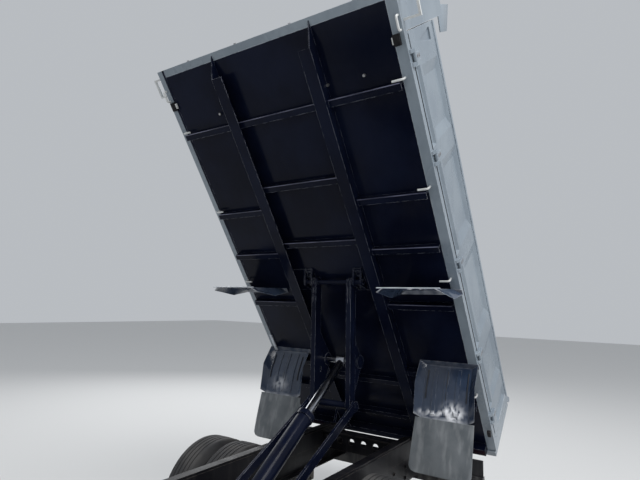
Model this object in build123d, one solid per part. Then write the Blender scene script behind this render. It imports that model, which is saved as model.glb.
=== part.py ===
from build123d import *
import os
from math import atan2, cos, degrees, hypot, radians, sin, sqrt

# Short two-ton class dump truck, bed tipped. Millimetres. X forward, Y to the truck's left, Z up.
# Sizes are in the axle frame: X = 0 over the rear axle, Z = 0 on the ground. Every node is moved
# by -ORIGIN_X when it is written, so that the part's origin is the middle of its footprint.

# Stance and wheels
WHEELBASE = 2500.0
FRONT_OVERHANG = 1100.0
FRONT_X = WHEELBASE + FRONT_OVERHANG
TYRE_R = 355.0
TYRE_W = 200.0
TYRE_SHOULDER = 26.0
RIM_R = 203.0
RIM_WALL = 7.0
RIM_EDGE = 22.0
FRONT_WHEEL_Y = 700.0
REAR_TWIN_Y = 620.0
TWIN_SPACING = 234.0
AXLE_STUB_R = 25.0
REAR_STUB_R = 57.0
REAR_HUB_R = 95.0
RUN_GAP = 0.4

# Cab
CAB_LEN = 1460.0
CAB_FRONT = FRONT_X - 10.0
CAB_REAR = CAB_FRONT - CAB_LEN
CAB_HALF = 845.0
CAB_ROOF = 1990.0
CAB_BOTTOM = 560.0
CAB_FLOOR = 820.0
CAB_FLOOR_T = 20.0
CAB_WALL = 42.0
BELT_Z = 1240.0
ARCH_R = 440.0
DOOR_GAP = 6.0
DOOR_REAR = CAB_REAR + 340.0
DOOR_FRONT = CAB_FRONT - 193.0
DOOR_BOTTOM = 812.0
DOOR_TOP = 1850.0
GLASS_IN = 14.0
GLASS_T = 5.0
DOOR_HINGE_X = DOOR_FRONT + 3.0
DOOR_HINGE_OUT = 14.0
DOOR_HINGE_Z = (900.0, 1130.0)
DOOR_PIN_R = 6.0
HANDLE_LEN = 140.0
HANDLE_Z = (1120.0, 1145.0)
PILLAR = 70.0
LAMP_Y = (500.0, 760.0)
LAMP_Z = (610.0, 770.0)
GRILLE_HALF = 440.0
GRILLE_SLATS = 4
STEP_X = (CAB_FRONT - 600.0, CAB_FRONT - 260.0)
STEP_Z = (640.0, 780.0)
DASH_FRONT = CAB_FRONT - 190.0
WHEEL_R = 190.0
WHEEL_BACK = 340.0
WHEEL_Z = 1300.0
SEAT_X = (CAB_REAR + 290.0, CAB_REAR + 790.0)
SEAT_Z = 1000.0
SEAT_T = 120.0

# Chassis frame
RAIL_OUT_Y = 350.0
RAIL_TOP = 605.0
RAIL_DEPTH = 150.0
RAIL_FLANGE = 55.0
RAIL_WALL = 6.0
FRAME_REAR = -1040.0
FRAME_FRONT = FRONT_X - 130.0
CROSS_TUBE_R = 30.0
CROSS_TUBE_DROP = 37.0
FRAME_TUBES_X = (-860.0, 1120.0, CAB_REAR - 430.0, FRAME_FRONT - 90.0)
CAB_POSTS_X = (CAB_REAR + 100.0, CAB_FRONT - 290.0)
CAB_POST_HALF = 40.0

# Sub-frame that carries the tipping gear
SUB_TOP = 710.0
SUB_W = 60.0
SUB_REAR = -890.0
SUB_FRONT = CAB_REAR - 180.0
PACKER_T = 14.0
HOLED_BEAM_X = -670.0
HOLE_R = 23.0
HOLE_PITCH = 95.0

# Tipping bed: hinge, tilt and hoist pivots. Pivots on the bed and arm are given from the hinge.
HINGE_X = -960.0
HINGE_Z = 630.0
HINGE_R = 18.0
BED_TILT = 54.07
UNDERSIDE = 169.0
LIFT_PIN_U = 1328.0
LIFT_PIN_DROP = 40.0
ARM_LEN = 795.0
ARM_EYE_ALONG = 532.0
ARM_EYE_BACK = 131.0
LINK_LEN = 899.0
LINK_BASE = (500.0, 584.0)
RAM_BASE = (625.0, 526.0)

# Hoist sections
ARM_Y = 136.0
ARM_W = 34.0
ARM_HALF = 34.0
ARM_PLATE = 12.0
LINK_W = 20.0
LINK_GAP = 4.0
LINK_HALF = 26.0
EYE_R = 42.0
PIN_R = 16.0
PIN_GAP = 0.5
SIDE_GAP = 2.0
BARREL_R = 50.0
BARREL_LEN = 770.0
GLAND_R = 57.0
GLAND_LEN = 34.0
ROD_R = 27.0
ROD_EYE_W = 60.0
BRACKET_W = 64.0
BRACKET_T = 10.0

# Bed sizes, along the bed (u) from the hinge, across (y) and above its underside (n)
BED_FRONT = 2921.0
BED_REAR = -100.0
BED_HALF = 780.0
RAIL_W = 58.0
SIDE_OUT = BED_HALF + RAIL_W
RAIL_H = 40.0
FLOOR_T = 5.0
BOARD_GAP = 5.0
BOARD_T = 38.0
BOARD_TOP = 480.0
BOARD_FRONT = 2712.0
BOARD_REAR = -20.0
FRONT_WALL_TOP = 690.0
FRONT_WALL_T = 45.0
TAILGATE_T = 40.0
TAILGATE_PIN_N = 520.0
TAILGATE_PIN_R = 9.0
TAILGATE_EAR_R = 20.0
SILL_Y = 355.0
SILL_DEPTH = 70.0
SILL_FLANGE = 75.0
SILL_WALL = 6.0
REAR_BEAM_W = 53.0
REAR_BEAM_DEPTH = 60.0
CROSS_DEPTH = 42.0
CROSS_W = 34.0
CROSS_T = 6.0
INNER_CROSS_U = (2491.0, 2051.0, 1635.0, 480.0, 150.0)
OUTER_CROSS_U = (2491.0, 1897.0, 1560.0, 1150.0, 590.0, 330.0)
HINGE_U = (2587.0, 2064.0, 1396.0, 707.0, 181.0)
HOOK_U = (2508.0, 1918.0, 1326.0, 420.0)
HOOK_R = 6.0
HOOK_DROP = 34.0
LOOP_OUT = 90.0
LOOP_BAR = 12.0
LOOP_U = (BED_FRONT - 160.0, BED_FRONT - 40.0)
GRIP_U = (BED_FRONT - 194.0, BED_FRONT - 126.0)
GRIP_DROP = 26.0
BOARD_AXIS_Y = SIDE_OUT + 12.0
BOARD_AXIS_N = RAIL_H + 1.0
BOARD_PIN_R = 5.0
BOARD_KNUCKLE_R = 9.0
BOARD_KNUCKLE_HALF = 20.0
PAD_HALF = 58.0
PAD_BEVEL = 62.0
PRESS_DEPTH = 16.0
STRIP_TOP = 124.0
FIELD_LOW = 150.0
FIELD_HIGH = 440.0
SEAT_GAP = 0.3

# Wheel guards under the bed. Each line is (u, n) down the guard, each depth is its flange's there.
GUARD_IN = 454.0
GUARD_OUT = SIDE_OUT + 7.0
GUARD_T = 4.0
GUARD_FLARE = 44.0
RIB_W = 24.0
RIB_H = 7.0
REAR_GUARD = ((641.0, 0.0), (560.0, -150.0), (447.0, -290.0))
FRONT_GUARD = ((1245.0, 0.0), (1345.0, -150.0), (1453.0, -300.0))
FLANGE_DEPTHS = (34.0, 64.0, 30.0)
FLAP_LEN = 330.0
FLAP_T = 6.0

# Front end and axles
BUMPER_TOP = 555.0
BUMPER_BOTTOM = 330.0
BUMPER_DEPTH = 130.0
BUMPER_HALF = 835.0
KINGPIN_Y = 590.0
BEAM_Z = 300.0
REAR_SEAT = 52.0
FRONT_SEAT = 40.0
SPRING_Y = (300.0, 360.0)

# Engine, gearbox, shaft, tank, battery and exhaust
ENGINE_X = (WHEELBASE - 140.0, WHEELBASE + 580.0)
ENGINE_HALF = 240.0
ENGINE_Z = (450.0, 790.0)
SUMP_HALF = 150.0
SUMP_Z = 380.0
GEARBOX_LEN = 240.0
GEARBOX_R = 150.0
TAIL_LEN = 280.0
TAIL_R = 95.0
TAIL_Z = 500.0
SHAFT_R = 34.0
TANK_X = 1180.0
TANK_SIZE = (520.0, 300.0, 250.0)
TANK_GAP = 30.0
BATTERY_X = (CAB_REAR - 680.0, CAB_REAR - 370.0)
BATTERY_W = 220.0
BATTERY_Z = (480.0, 670.0)
MUFFLER_X = (660.0, 1130.0)
MUFFLER_R = 90.0
MUFFLER_OUT = 140.0
PIPE_R = 22.0

# Rear bar and lamps. Lamp fields run out from the frame.
BAR_X = (FRAME_REAR - 55.0, FRAME_REAR - 5.0)
BAR_Z = (380.0, 480.0)
BAR_HALF = 770.0
REAR_LAMP_W = 82.0
REAR_LAMP_PITCH = 84.0

AXLE_Z = TYRE_R
TILT = radians(BED_TILT)


def bed_point(u, w):
    """Axle-frame X and Z of a bed point, w above the hinge, with the bed tipped."""
    return (HINGE_X + u * cos(TILT) - w * sin(TILT), HINGE_Z + u * sin(TILT) + w * cos(TILT))


def meet(a, ra, b, rb, side):
    """Point at ra from a and rb from b, on the left (1) or right (-1) of the line a to b."""
    dx, dz = b[0] - a[0], b[1] - a[1]
    d = hypot(dx, dz)
    along = (ra * ra - rb * rb + d * d) / (2 * d)
    off = side * sqrt(ra * ra - along * along)
    return (a[0] + (along * dx - off * dz) / d, a[1] + (along * dz + off * dx) / d)


# Hoist pivots with the bed tipped
LIFT_PIN = bed_point(LIFT_PIN_U, UNDERSIDE - LIFT_PIN_DROP)
ARM_FOOT = meet(LINK_BASE, LINK_LEN, LIFT_PIN, ARM_LEN, 1)
ARM_DIR = ((ARM_FOOT[0] - LIFT_PIN[0]) / ARM_LEN, (ARM_FOOT[1] - LIFT_PIN[1]) / ARM_LEN)
ARM_EYE = (
    LIFT_PIN[0] + ARM_EYE_ALONG * ARM_DIR[0] + ARM_EYE_BACK * ARM_DIR[1],
    LIFT_PIN[1] + ARM_EYE_ALONG * ARM_DIR[1] - ARM_EYE_BACK * ARM_DIR[0],
)
RAM_LEN = hypot(ARM_EYE[0] - RAM_BASE[0], ARM_EYE[1] - RAM_BASE[1])
RAM_ANGLE = degrees(atan2(ARM_EYE[1] - RAM_BASE[1], ARM_EYE[0] - RAM_BASE[0]))

# The footprint runs from the bumper to the tipped tailgate's hinge ears
TAILGATE_PIN_U = BED_REAR - BOARD_GAP - TAILGATE_T / 2
REAR_X = bed_point(TAILGATE_PIN_U, UNDERSIDE + TAILGATE_PIN_N)[0] - TAILGATE_EAR_R
ORIGIN_X = (FRONT_X + REAR_X) / 2


def block(x, y, z):
    """Box between pairs of limits."""
    size = [hi - lo for lo, hi in (x, y, z)]
    return Pos(*[(lo + hi) / 2 for lo, hi in (x, y, z)]) * Box(*size)


def slab(sketch, y0, y1):
    """A side-view (X, Z) sketch, from y0 to y1."""
    return Pos(0, y1, 0) * extrude(Plane.XZ * sketch, amount=y1 - y0)


def bar(sketch, x0, x1):
    """A front-view (Y, Z) sketch, from x0 to x1."""
    return Pos(x0, 0, 0) * extrude(Plane.YZ * sketch, amount=x1 - x0)


def rod_y(x, z, y0, y1, r):
    """Round bar across the truck."""
    return slab(Pos(x, z) * Circle(r), y0, y1)


def rod_x(y, z, x0, x1, r):
    """Round bar along the truck."""
    return bar(Pos(y, z) * Circle(r), x0, x1)


def rod_z(x, y, z0, z1, r):
    """Upright round bar."""
    return Pos(x, y, z0) * extrude(Circle(r), amount=z1 - z0)


def outline(*points):
    """Closed polygon on its own coordinates."""
    return make_face(Polyline(*points, close=True))


def hull(*discs):
    """Plate outline round discs, each (x, z, r)."""
    return make_hull([e for x, z, r in discs for e in (Pos(x, z) * Circle(r)).edges()])


def both(shape):
    """A piece and its mirror image on the other side of the truck."""
    return [shape, mirror(shape, about=Plane.XZ)]


def fuse(parts):
    """One shape from pieces that touch."""
    first, *rest = parts
    return first.fuse(*rest) if rest else first


def on_bed(shape):
    """A piece drawn on the level bed (u, y, w), put on the tipped bed."""
    return Pos(HINGE_X, 0, HINGE_Z) * Rot(0, -BED_TILT, 0) * shape


def bed_block(u, y, n):
    """Box on the level bed, n above the bed's underside."""
    return block(u, y, (n[0] + UNDERSIDE, n[1] + UNDERSIDE))


def wheel_ring(profile, y):
    """Ring turned about the wheel axis at y, from (radius, offset) points."""
    turned = revolve(make_face(Polyline(*[(r, s, 0) for r, s in profile], close=True)), Axis.Y)
    return Pos(0, y, 0) * turned


def tyre(y):
    """Tyre with a flat tread, sloping shoulders and bulged walls."""
    half = TYRE_W / 2
    bead = half - 22.0
    mid = (TYRE_R + RIM_R) / 2
    points = [
        (RIM_R, -bead), (mid, -half), (TYRE_R - TYRE_SHOULDER, -half + 6), (TYRE_R, -half + 24),
        (TYRE_R, half - 24), (TYRE_R - TYRE_SHOULDER, half - 6), (mid, half), (RIM_R, bead),
    ]
    return wheel_ring(points, y)


def rim(y, disc_side, bore_r):
    """Steel rim: drop-centre barrel, and a dished disc towards disc_side (1 or -1)."""
    s = disc_side
    edge = TYRE_W / 2 - 22.0
    well = RIM_R - 22.0
    barrel = wheel_ring(
        [
            (RIM_R, -edge), (RIM_R, edge), (RIM_R - RIM_WALL, edge), (RIM_R - RIM_WALL, 40),
            (well - RIM_WALL, 25), (well - RIM_WALL, -25), (RIM_R - RIM_WALL, -40),
            (RIM_R - RIM_WALL, -edge),
        ],
        y,
    )
    disc = wheel_ring(
        [
            (well, s * 18), (well, s * 30), (150, s * 62), (105, s * 62), (95, s * 52),
            (bore_r, s * 52), (bore_r, s * 42), (98, s * 42), (112, s * 50), (146, s * 50),
        ],
        y,
    )
    return fuse([barrel, disc])


def at_axle(shape, x):
    """Put a wheel piece at the axle."""
    return Pos(x, 0, AXLE_Z) * shape


def front_wheel():
    """Left front rim, hub and drum."""
    y = FRONT_WHEEL_Y
    bore = AXLE_STUB_R + RUN_GAP
    hub = wheel_ring(
        [(bore, -50), (60, -50), (60, 42), (95, 42), (95, 52), (70, 52), (58, 84), (0, 84), (0, 76),
         (bore, 76)], y)
    drum = wheel_ring([(60, -50), (168, -50), (168, 22), (158, 22), (158, -40), (60, -40)], y)
    holes = [Pos(130 * cos(a), y + 56, 130 * sin(a)) * Rot(90, 0, 0) * Cylinder(14, 60)
             for a in [radians(36 + 72 * k) for k in range(5)]]
    return at_axle(fuse([rim(y, 1, bore), hub, drum]).cut(*holes), WHEELBASE)


def rear_wheel():
    """Left rear twin rims, back to back on one hub and drum."""
    outer, inner = REAR_TWIN_Y + TWIN_SPACING / 2, REAR_TWIN_Y - TWIN_SPACING / 2
    mid = REAR_TWIN_Y
    bore = REAR_STUB_R + RUN_GAP
    ring = wheel_ring([(REAR_HUB_R, -75), (115, -75), (115, 75), (REAR_HUB_R, 75)], mid)
    hub = wheel_ring([(bore, -150), (REAR_HUB_R, -150), (REAR_HUB_R, 70), (75, 84), (75, 150), (0, 150),
                      (0, 130), (bore, 130)], mid)
    return at_axle(fuse([rim(outer, -1, REAR_HUB_R - 10), rim(inner, 1, REAR_HUB_R - 10), ring, hub]), 0)


def rail_section(y_out, top, depth, flange, wall):
    """Front-view channel, open towards the middle of the truck."""
    web = Pos(y_out - wall / 2, top - depth / 2) * Rectangle(wall, depth)
    caps = [Pos(y_out - flange / 2, z) * Rectangle(flange, wall)
            for z in (top - wall / 2, top - depth + wall / 2)]
    return web + caps[0] + caps[1]


def frame_rails():
    """Channel rails with the posts that carry the cab."""
    section = rail_section(RAIL_OUT_Y, RAIL_TOP, RAIL_DEPTH, RAIL_FLANGE, RAIL_WALL)
    rail = bar(section, FRAME_REAR, FRAME_FRONT)
    posts = [block((x - CAB_POST_HALF, x + CAB_POST_HALF), (RAIL_OUT_Y - RAIL_FLANGE, RAIL_OUT_Y),
                   (RAIL_TOP, CAB_FLOOR)) for x in CAB_POSTS_X]
    return fuse([rail] + posts)


def cross_members():
    """Round cross tubes between the rails."""
    reach = RAIL_OUT_Y - RAIL_WALL
    return [rod_y(x, RAIL_TOP - CROSS_TUBE_DROP, -reach, reach, CROSS_TUBE_R) for x in FRAME_TUBES_X]


def subframe():
    """Box rails on the frame, holed beam, hoist base, hinge shaft and rubber packers."""
    inner = RAIL_OUT_Y - SUB_W
    rails = both(block((SUB_REAR, SUB_FRONT), (inner, RAIL_OUT_Y), (RAIL_TOP, SUB_TOP)))
    holed = block((HOLED_BEAM_X - 6, HOLED_BEAM_X + 6), (-inner, inner), (RAIL_TOP - 20, SUB_TOP - 8))
    for k in range(4):
        y = (k - 1.5) * HOLE_PITCH
        holed -= rod_x(y, RAIL_TOP + 50, HOLED_BEAM_X - 10, HOLED_BEAM_X + 10, HOLE_R)
    cap = block((HOLED_BEAM_X - 30, HOLED_BEAM_X + 30), (-inner, inner), (SUB_TOP - 8, SUB_TOP))
    front = block((SUB_FRONT - 60, SUB_FRONT), (-inner, inner), (RAIL_TOP, SUB_TOP - 20))
    base_x = RAM_BASE[0] + EYE_R + 10
    base = block((base_x, base_x + 80), (-inner, inner), (470, SUB_TOP - 20))
    link_y = ARM_Y + ARM_W / 2 + LINK_GAP + LINK_W
    ears = []
    for y0, y1, pivot, low in (
        (link_y + 4, link_y + 16, LINK_BASE, 470),
        (ROD_EYE_W / 2 + SIDE_GAP, ROD_EYE_W / 2 + SIDE_GAP + 12, RAM_BASE, 470),
    ):
        plate = hull((pivot[0], pivot[1], 34), (base_x, low + 20, 20), (base_x, pivot[1] + 60, 20))
        ear = slab(plate, y0, y1) - rod_y(pivot[0], pivot[1], y0 - 1, y1 + 1, PIN_R + PIN_GAP)
        ears += both(ear)
    shaft_half = SILL_Y + 30
    shaft = rod_y(HINGE_X, HINGE_Z, -shaft_half, shaft_half, HINGE_R)
    foot = slab(hull((HINGE_X, HINGE_Z, 32), (HINGE_X - 40, RAIL_TOP + 12, 12),
                     (SUB_REAR, RAIL_TOP + 30, 30)),
                inner, RAIL_OUT_Y - 4)
    foot = foot & block((FRAME_REAR, SUB_REAR + 1), (inner, RAIL_OUT_Y), (RAIL_TOP, SUB_TOP))
    packer = block((SUB_REAR + 100, SUB_FRONT - 100), (inner + 4, RAIL_OUT_Y - 4),
                   (SUB_TOP, SUB_TOP + PACKER_T))
    return fuse(rails + [holed, cap, front, base, shaft] + ears + both(foot) + both(packer))


def rear_axle():
    """Banjo axle with its stubs, and spring pads."""
    reach = REAR_TWIN_Y - 150
    tube = rod_y(0, AXLE_Z, -reach, reach, 45)
    stubs = both(rod_y(0, AXLE_Z, reach - 20, REAR_TWIN_Y + 125, REAR_STUB_R))
    banjo = Pos(0, 0, AXLE_Z) * revolve(
        make_face(Polyline((0, -150, 0), (60, -140, 0), (138, -50, 0), (138, 50, 0), (60, 140, 0),
                           (0, 150, 0),
                           close=True)), Axis.Y)
    nose = rod_x(0, AXLE_Z, 60, 190, 60)
    pads = both(block((-45, 45), (298, 362), (AXLE_Z, AXLE_Z + REAR_SEAT)))
    return fuse([tube, banjo, nose] + stubs + pads)


def front_axle():
    """Dropped I-beam with kingpin bosses and spring pads."""
    beam = [(-KINGPIN_Y + 22, AXLE_Z), (-420, BEAM_Z), (420, BEAM_Z), (KINGPIN_Y - 22, AXLE_Z)]
    top = [(y, z + 32) for y, z in reversed(beam)]
    low = [(y, z - 32) for y, z in beam]
    body = bar(outline(*[(y, z, 0) for y, z in low + top]), WHEELBASE - 30, WHEELBASE + 30)
    groove = bar(outline(*[(y, z, 0) for y, z in
                           [(y, z - 18) for y, z in beam] + [(y, z + 18) for y, z in reversed(beam)]]), 0, 22)
    body = body - Pos(WHEELBASE + 10, 0, 0) * groove - Pos(WHEELBASE - 32, 0, 0) * groove
    bosses = []
    for y in (KINGPIN_Y, -KINGPIN_Y):
        boss = rod_z(WHEELBASE, y, AXLE_Z - 42, AXLE_Z + 42, 34)
        bosses.append(boss)
    pads = both(block((WHEELBASE - 45, WHEELBASE + 45), (298, 362), (BEAM_Z + 32, AXLE_Z + FRONT_SEAT)))
    shape = fuse([body] + bosses + pads)
    for y in (KINGPIN_Y, -KINGPIN_Y):
        shape -= rod_z(WHEELBASE, y, AXLE_Z - 50, AXLE_Z + 50, PIN_R + PIN_GAP)
    return shape


def springs():
    """Four leaf packs with hangers, clear of the rails in between."""
    found = []
    y0, y1 = SPRING_Y
    bottom = RAIL_TOP - RAIL_DEPTH
    for x, seat, half in ((0.0, AXLE_Z + REAR_SEAT, 520.0), (WHEELBASE, AXLE_Z + FRONT_SEAT, 480.0)):
        leaf = slab(outline((x - half, bottom - 40, 0), (x - half, bottom - 26, 0), (x - 120, seat + 38, 0),
                            (x + 120, seat + 38, 0), (x + half, bottom - 26, 0), (x + half, bottom - 40, 0),
                            (x + half * 0.7, seat + 14, 0), (x + 150, seat, 0), (x - 150, seat, 0),
                            (x - half * 0.7, seat + 14, 0)), y0, y1)
        hangers = [slab(hull((x + s * half, bottom - 30, 24), (x + s * half, bottom - 12, 30))
                        & (Pos(x + s * half, bottom - 40) * Rectangle(90, 80)), y0 - 4,
                        y1 + 4) for s in (-1, 1)]
        found += both(fuse([leaf] + hangers))
    return found


def knuckle():
    """Left steering knuckle: fork, kingpin, stub axle and arm."""
    x, y = WHEELBASE, KINGPIN_Y
    caps = [rod_z(x, y, AXLE_Z + 44, AXLE_Z + 64, 34), rod_z(x, y, AXLE_Z - 64, AXLE_Z - 44, 34)]
    pin = rod_z(x, y, AXLE_Z - 60, AXLE_Z + 60, PIN_R)
    back = block((x - 30, x + 30), (y + 40, y + 53), (AXLE_Z - 64, AXLE_Z + 64))
    lips = [block((x - 30, x + 30), (y, y + 50),
                  (AXLE_Z + s * 54 - 10, AXLE_Z + s * 54 + 10)) for s in (-1, 1)]
    stub = rod_y(x, AXLE_Z, y + 50, FRONT_WHEEL_Y + 72, AXLE_STUB_R)
    return fuse(caps + [pin, back, stub] + lips)


def engine():
    """Engine as one block with its sump, mounts, gearbox and propeller shaft."""
    rear, front = ENGINE_X
    body = block(ENGINE_X, (-ENGINE_HALF, ENGINE_HALF), ENGINE_Z)
    sump = block((rear + 60, front - 100), (-SUMP_HALF, SUMP_HALF), (SUMP_Z, ENGINE_Z[0]))
    mounts = both(block((front - 380, front - 300), (ENGINE_HALF, RAIL_OUT_Y - RAIL_WALL), (500, 560)))
    box = bar(Pos(0, TAIL_Z + 20) * Circle(GEARBOX_R), rear - GEARBOX_LEN, rear)
    tail = bar(Pos(0, TAIL_Z) * Circle(TAIL_R), rear - GEARBOX_LEN - TAIL_LEN, rear - GEARBOX_LEN)
    return fuse([body, sump, box, tail] + mounts)


def prop_shaft():
    """Shaft from the gearbox to the axle's nose."""
    a, b = (ENGINE_X[0] - GEARBOX_LEN - TAIL_LEN, TAIL_Z), (190.0, AXLE_Z)
    length = hypot(a[0] - b[0], a[1] - b[1])
    angle = degrees(atan2(a[1] - b[1], a[0] - b[0]))
    tube = Pos(b[0], 0, b[1]) * Rot(0, 90 - angle, 0) * extrude(Circle(SHAFT_R), amount=length)
    keep = block((b[0], a[0]), (-100, 100), (AXLE_Z - 100, TAIL_Z + 100))
    return tube & keep


def fuel_tank():
    """Tank on the right rail with two straps."""
    length, width, height = TANK_SIZE
    y = -(RAIL_OUT_Y + TANK_GAP + width / 2)
    z = RAIL_TOP - 130
    body = Pos(TANK_X, y, z) * Box(length, width, height)
    body = fillet(body.edges().filter_by(Axis.X), 45)
    straps = [block((x - 18, x + 18), (-RAIL_OUT_Y - TANK_GAP - 10, -RAIL_OUT_Y),
                    (z - 5, z + height / 2 - 10))
              for x in (TANK_X - length * 0.29, TANK_X + length * 0.29)]
    neck = rod_z(TANK_X + length / 2 - 60, y - 70, z + height / 2 - 10, z + height / 2 + 40, 32)
    return fuse([body, neck] + straps)


def battery_box():
    """Battery box with a lid, on the left rail."""
    (x0, x1), (z0, z1) = BATTERY_X, BATTERY_Z
    near = RAIL_OUT_Y + 40
    body = block((x0, x1), (near, near + BATTERY_W), (z0, z1))
    lid = block((x0 - 10, x1 + 10), (near - 6, near + BATTERY_W + 6), (z1, z1 + 25))
    arms = [block((x - 20, x + 20), (RAIL_OUT_Y, near), (z0 + 20, z0 + 100)) for x in (x0 + 60, x1 - 60)]
    return fuse([body, lid] + arms)


def pipe(points, radius, bend):
    """Bent pipe along points."""
    path = FilletPolyline(*points, radius=bend)
    return sweep(Plane(origin=path @ 0, z_dir=path % 0) * Circle(radius), path=path)


def exhaust():
    """Front pipe, muffler and side-exit tail pipe on the left rail."""
    y, z = RAIL_OUT_Y + MUFFLER_OUT, RAIL_TOP - RAIL_DEPTH + 15
    low = ENGINE_Z[0] - PIPE_R - 8
    rear, front = MUFFLER_X
    can = fillet(rod_x(y, z, rear, front, MUFFLER_R).edges().filter_by(GeomType.CIRCLE), 14)
    turn, engine_x = ENGINE_X[0] - 500, ENGINE_X[0] + 90
    down = pipe([(front - 10, y, low), (turn, y, low), (turn + 100, 200, low), (engine_x, 200, low),
                 (engine_x, 200, ENGINE_Z[0])], PIPE_R, PIPE_R + 4)
    tail = pipe([(rear + 10, y, z - 20), (rear - 100, y, z - 20), (rear - 100, SIDE_OUT - 68, z - 20)],
                PIPE_R + 2, 50)
    arms = [block((x - 15, x + 15), (RAIL_OUT_Y, RAIL_OUT_Y + 60), (z + 30, z + 70))
            for x in (rear + 100, front - 90)]
    return fuse([can, down, tail] + arms)


def rear_bar():
    """Underrun bar on two arms, with lamp plates."""
    x0, x1 = BAR_X
    beam = block(BAR_X, (-BAR_HALF, BAR_HALF), BAR_Z)
    arms = both(block((x0 + 5, FRAME_REAR), (RAIL_OUT_Y - RAIL_FLANGE, RAIL_OUT_Y),
                      (BAR_Z[1] - 10, BAR_Z[1] + 80)))
    plates = both(block((x0 + 25, x0 + 35), (BAR_HALF - 270, BAR_HALF), (BAR_Z[1], BAR_Z[1] + 110)))
    return fuse([beam] + arms + plates)


def rear_lamps():
    """Combination lamps, three fields each."""
    found = []
    x0 = BAR_X[0]
    for k in range(3):
        y1 = BAR_HALF - 10 - k * REAR_LAMP_PITCH
        lens = block((x0 - 5, x0 + 25), (y1 - REAR_LAMP_W, y1), (BAR_Z[1] + 15, BAR_Z[1] + 100))
        found += both(fillet(lens.edges().filter_by(Axis.X), 8))
    return found


def bumper():
    """Front bumper, bowed ends, with its brackets."""
    rear, half = FRONT_X - BUMPER_DEPTH, BUMPER_HALF
    plan = make_face(Polyline((rear, -half), (FRONT_X - 70, -half), (FRONT_X, 195 - half),
                              (FRONT_X, half - 195),
                              (FRONT_X - 70, half), (rear, half), close=True))
    body = Pos(0, 0, BUMPER_BOTTOM) * extrude(plan, amount=BUMPER_TOP - BUMPER_BOTTOM)
    body -= block((rear - 1, FRONT_X - 60), (75 - half, half - 75), (BUMPER_BOTTOM - 1, BUMPER_TOP - 12))
    slot = block((FRONT_X - 70, FRONT_X + 1), (-380, 380), (BUMPER_BOTTOM + 70, BUMPER_BOTTOM + 130))
    arms = both(block((FRAME_FRONT, FRONT_X - 60), (RAIL_OUT_Y - RAIL_FLANGE, RAIL_OUT_Y),
                      (BUMPER_BOTTOM + 150, BUMPER_TOP - 12)))
    return fuse([body - slot] + arms)


def cab_form(inset):
    """The cab's outer form, drawn in by inset on every side."""
    low, high = CAB_BOTTOM - 60, CAB_ROOF + 100
    side = outline((CAB_REAR, low, 0), (CAB_FRONT, low, 0), (CAB_FRONT, BELT_Z - 60, 0),
                   (CAB_FRONT - 40, BELT_Z, 0),
                   (CAB_FRONT - 300, CAB_ROOF - 60, 0), (CAB_FRONT - 470, CAB_ROOF, 0),
                   (CAB_REAR + 120, CAB_ROOF, 0), (CAB_REAR, CAB_ROOF - 120, 0))
    front = outline((-CAB_HALF, low, 0), (CAB_HALF, low, 0), (CAB_HALF, BELT_Z, 0),
                    (CAB_HALF - 85, CAB_ROOF - 90, 0), (CAB_HALF - 190, CAB_ROOF, 0),
                    (190 - CAB_HALF, CAB_ROOF, 0),
                    (85 - CAB_HALF, CAB_ROOF - 90, 0), (-CAB_HALF, BELT_Z, 0))
    plan = outline((CAB_REAR, -CAB_HALF, 0), (CAB_FRONT - 150, -CAB_HALF, 0),
                   (CAB_FRONT - 50, 110 - CAB_HALF, 0),
                   (CAB_FRONT, 330 - CAB_HALF, 0), (CAB_FRONT, CAB_HALF - 330, 0),
                   (CAB_FRONT - 50, CAB_HALF - 110, 0), (CAB_FRONT - 150, CAB_HALF, 0),
                   (CAB_REAR, CAB_HALF, 0))
    if inset:
        side, front, plan = [offset(s, amount=-inset, kind=Kind.INTERSECTION) for s in (side, front, plan)]
    form = slab(side, -CAB_HALF - 50, CAB_HALF + 50) & bar(front, CAB_REAR - 50, CAB_FRONT + 50)
    return form & (Pos(0, 0, CAB_BOTTOM) * extrude(plan, amount=high - CAB_BOTTOM))


def door_outline(gap):
    """Side view of the door, drawn in by gap."""
    shape = outline((DOOR_REAR, DOOR_BOTTOM, 0), (DOOR_FRONT, DOOR_BOTTOM, 0), (DOOR_FRONT, BELT_Z, 0),
                    (DOOR_FRONT - 247, DOOR_TOP, 0), (DOOR_REAR, DOOR_TOP, 0))
    return offset(shape, amount=-gap, kind=Kind.INTERSECTION) if gap else shape


def door_window():
    """Side view of the door's window."""
    low, high = BELT_Z + 30, DOOR_TOP - 60
    return outline((DOOR_REAR + PILLAR, low, 0), (DOOR_FRONT - 95, low, 0), (DOOR_FRONT - 282, high, 0),
                   (DOOR_REAR + PILLAR, high, 0))


def windscreen_cut():
    """Front view of the windscreen."""
    low, high = CAB_HALF - 125, CAB_HALF - 190
    return outline((-low, BELT_Z + 40, 0), (low, BELT_Z + 40, 0), (high, CAB_ROOF - 120, 0),
                   (-high, CAB_ROOF - 120, 0))


def rear_window_cut():
    """Front view of the cab's rear window."""
    half, low, high = CAB_HALF - 325, BELT_Z + 180, CAB_ROOF - 210
    return outline((-half, low, 0), (half, low, 0), (half - 20, high, 0), (20 - half, high, 0))


def lamp_block():
    """Left headlamp's outline through the front panel."""
    return fillet(block((CAB_FRONT - 210, CAB_FRONT + 20), LAMP_Y, LAMP_Z).edges().filter_by(Axis.X), 18)


def grille_block():
    """Grille field through the front panel."""
    return block((CAB_FRONT - 34, CAB_FRONT + 20), (-GRILLE_HALF, GRILLE_HALF), (LAMP_Z[0] + 10, LAMP_Z[1]))


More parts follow.
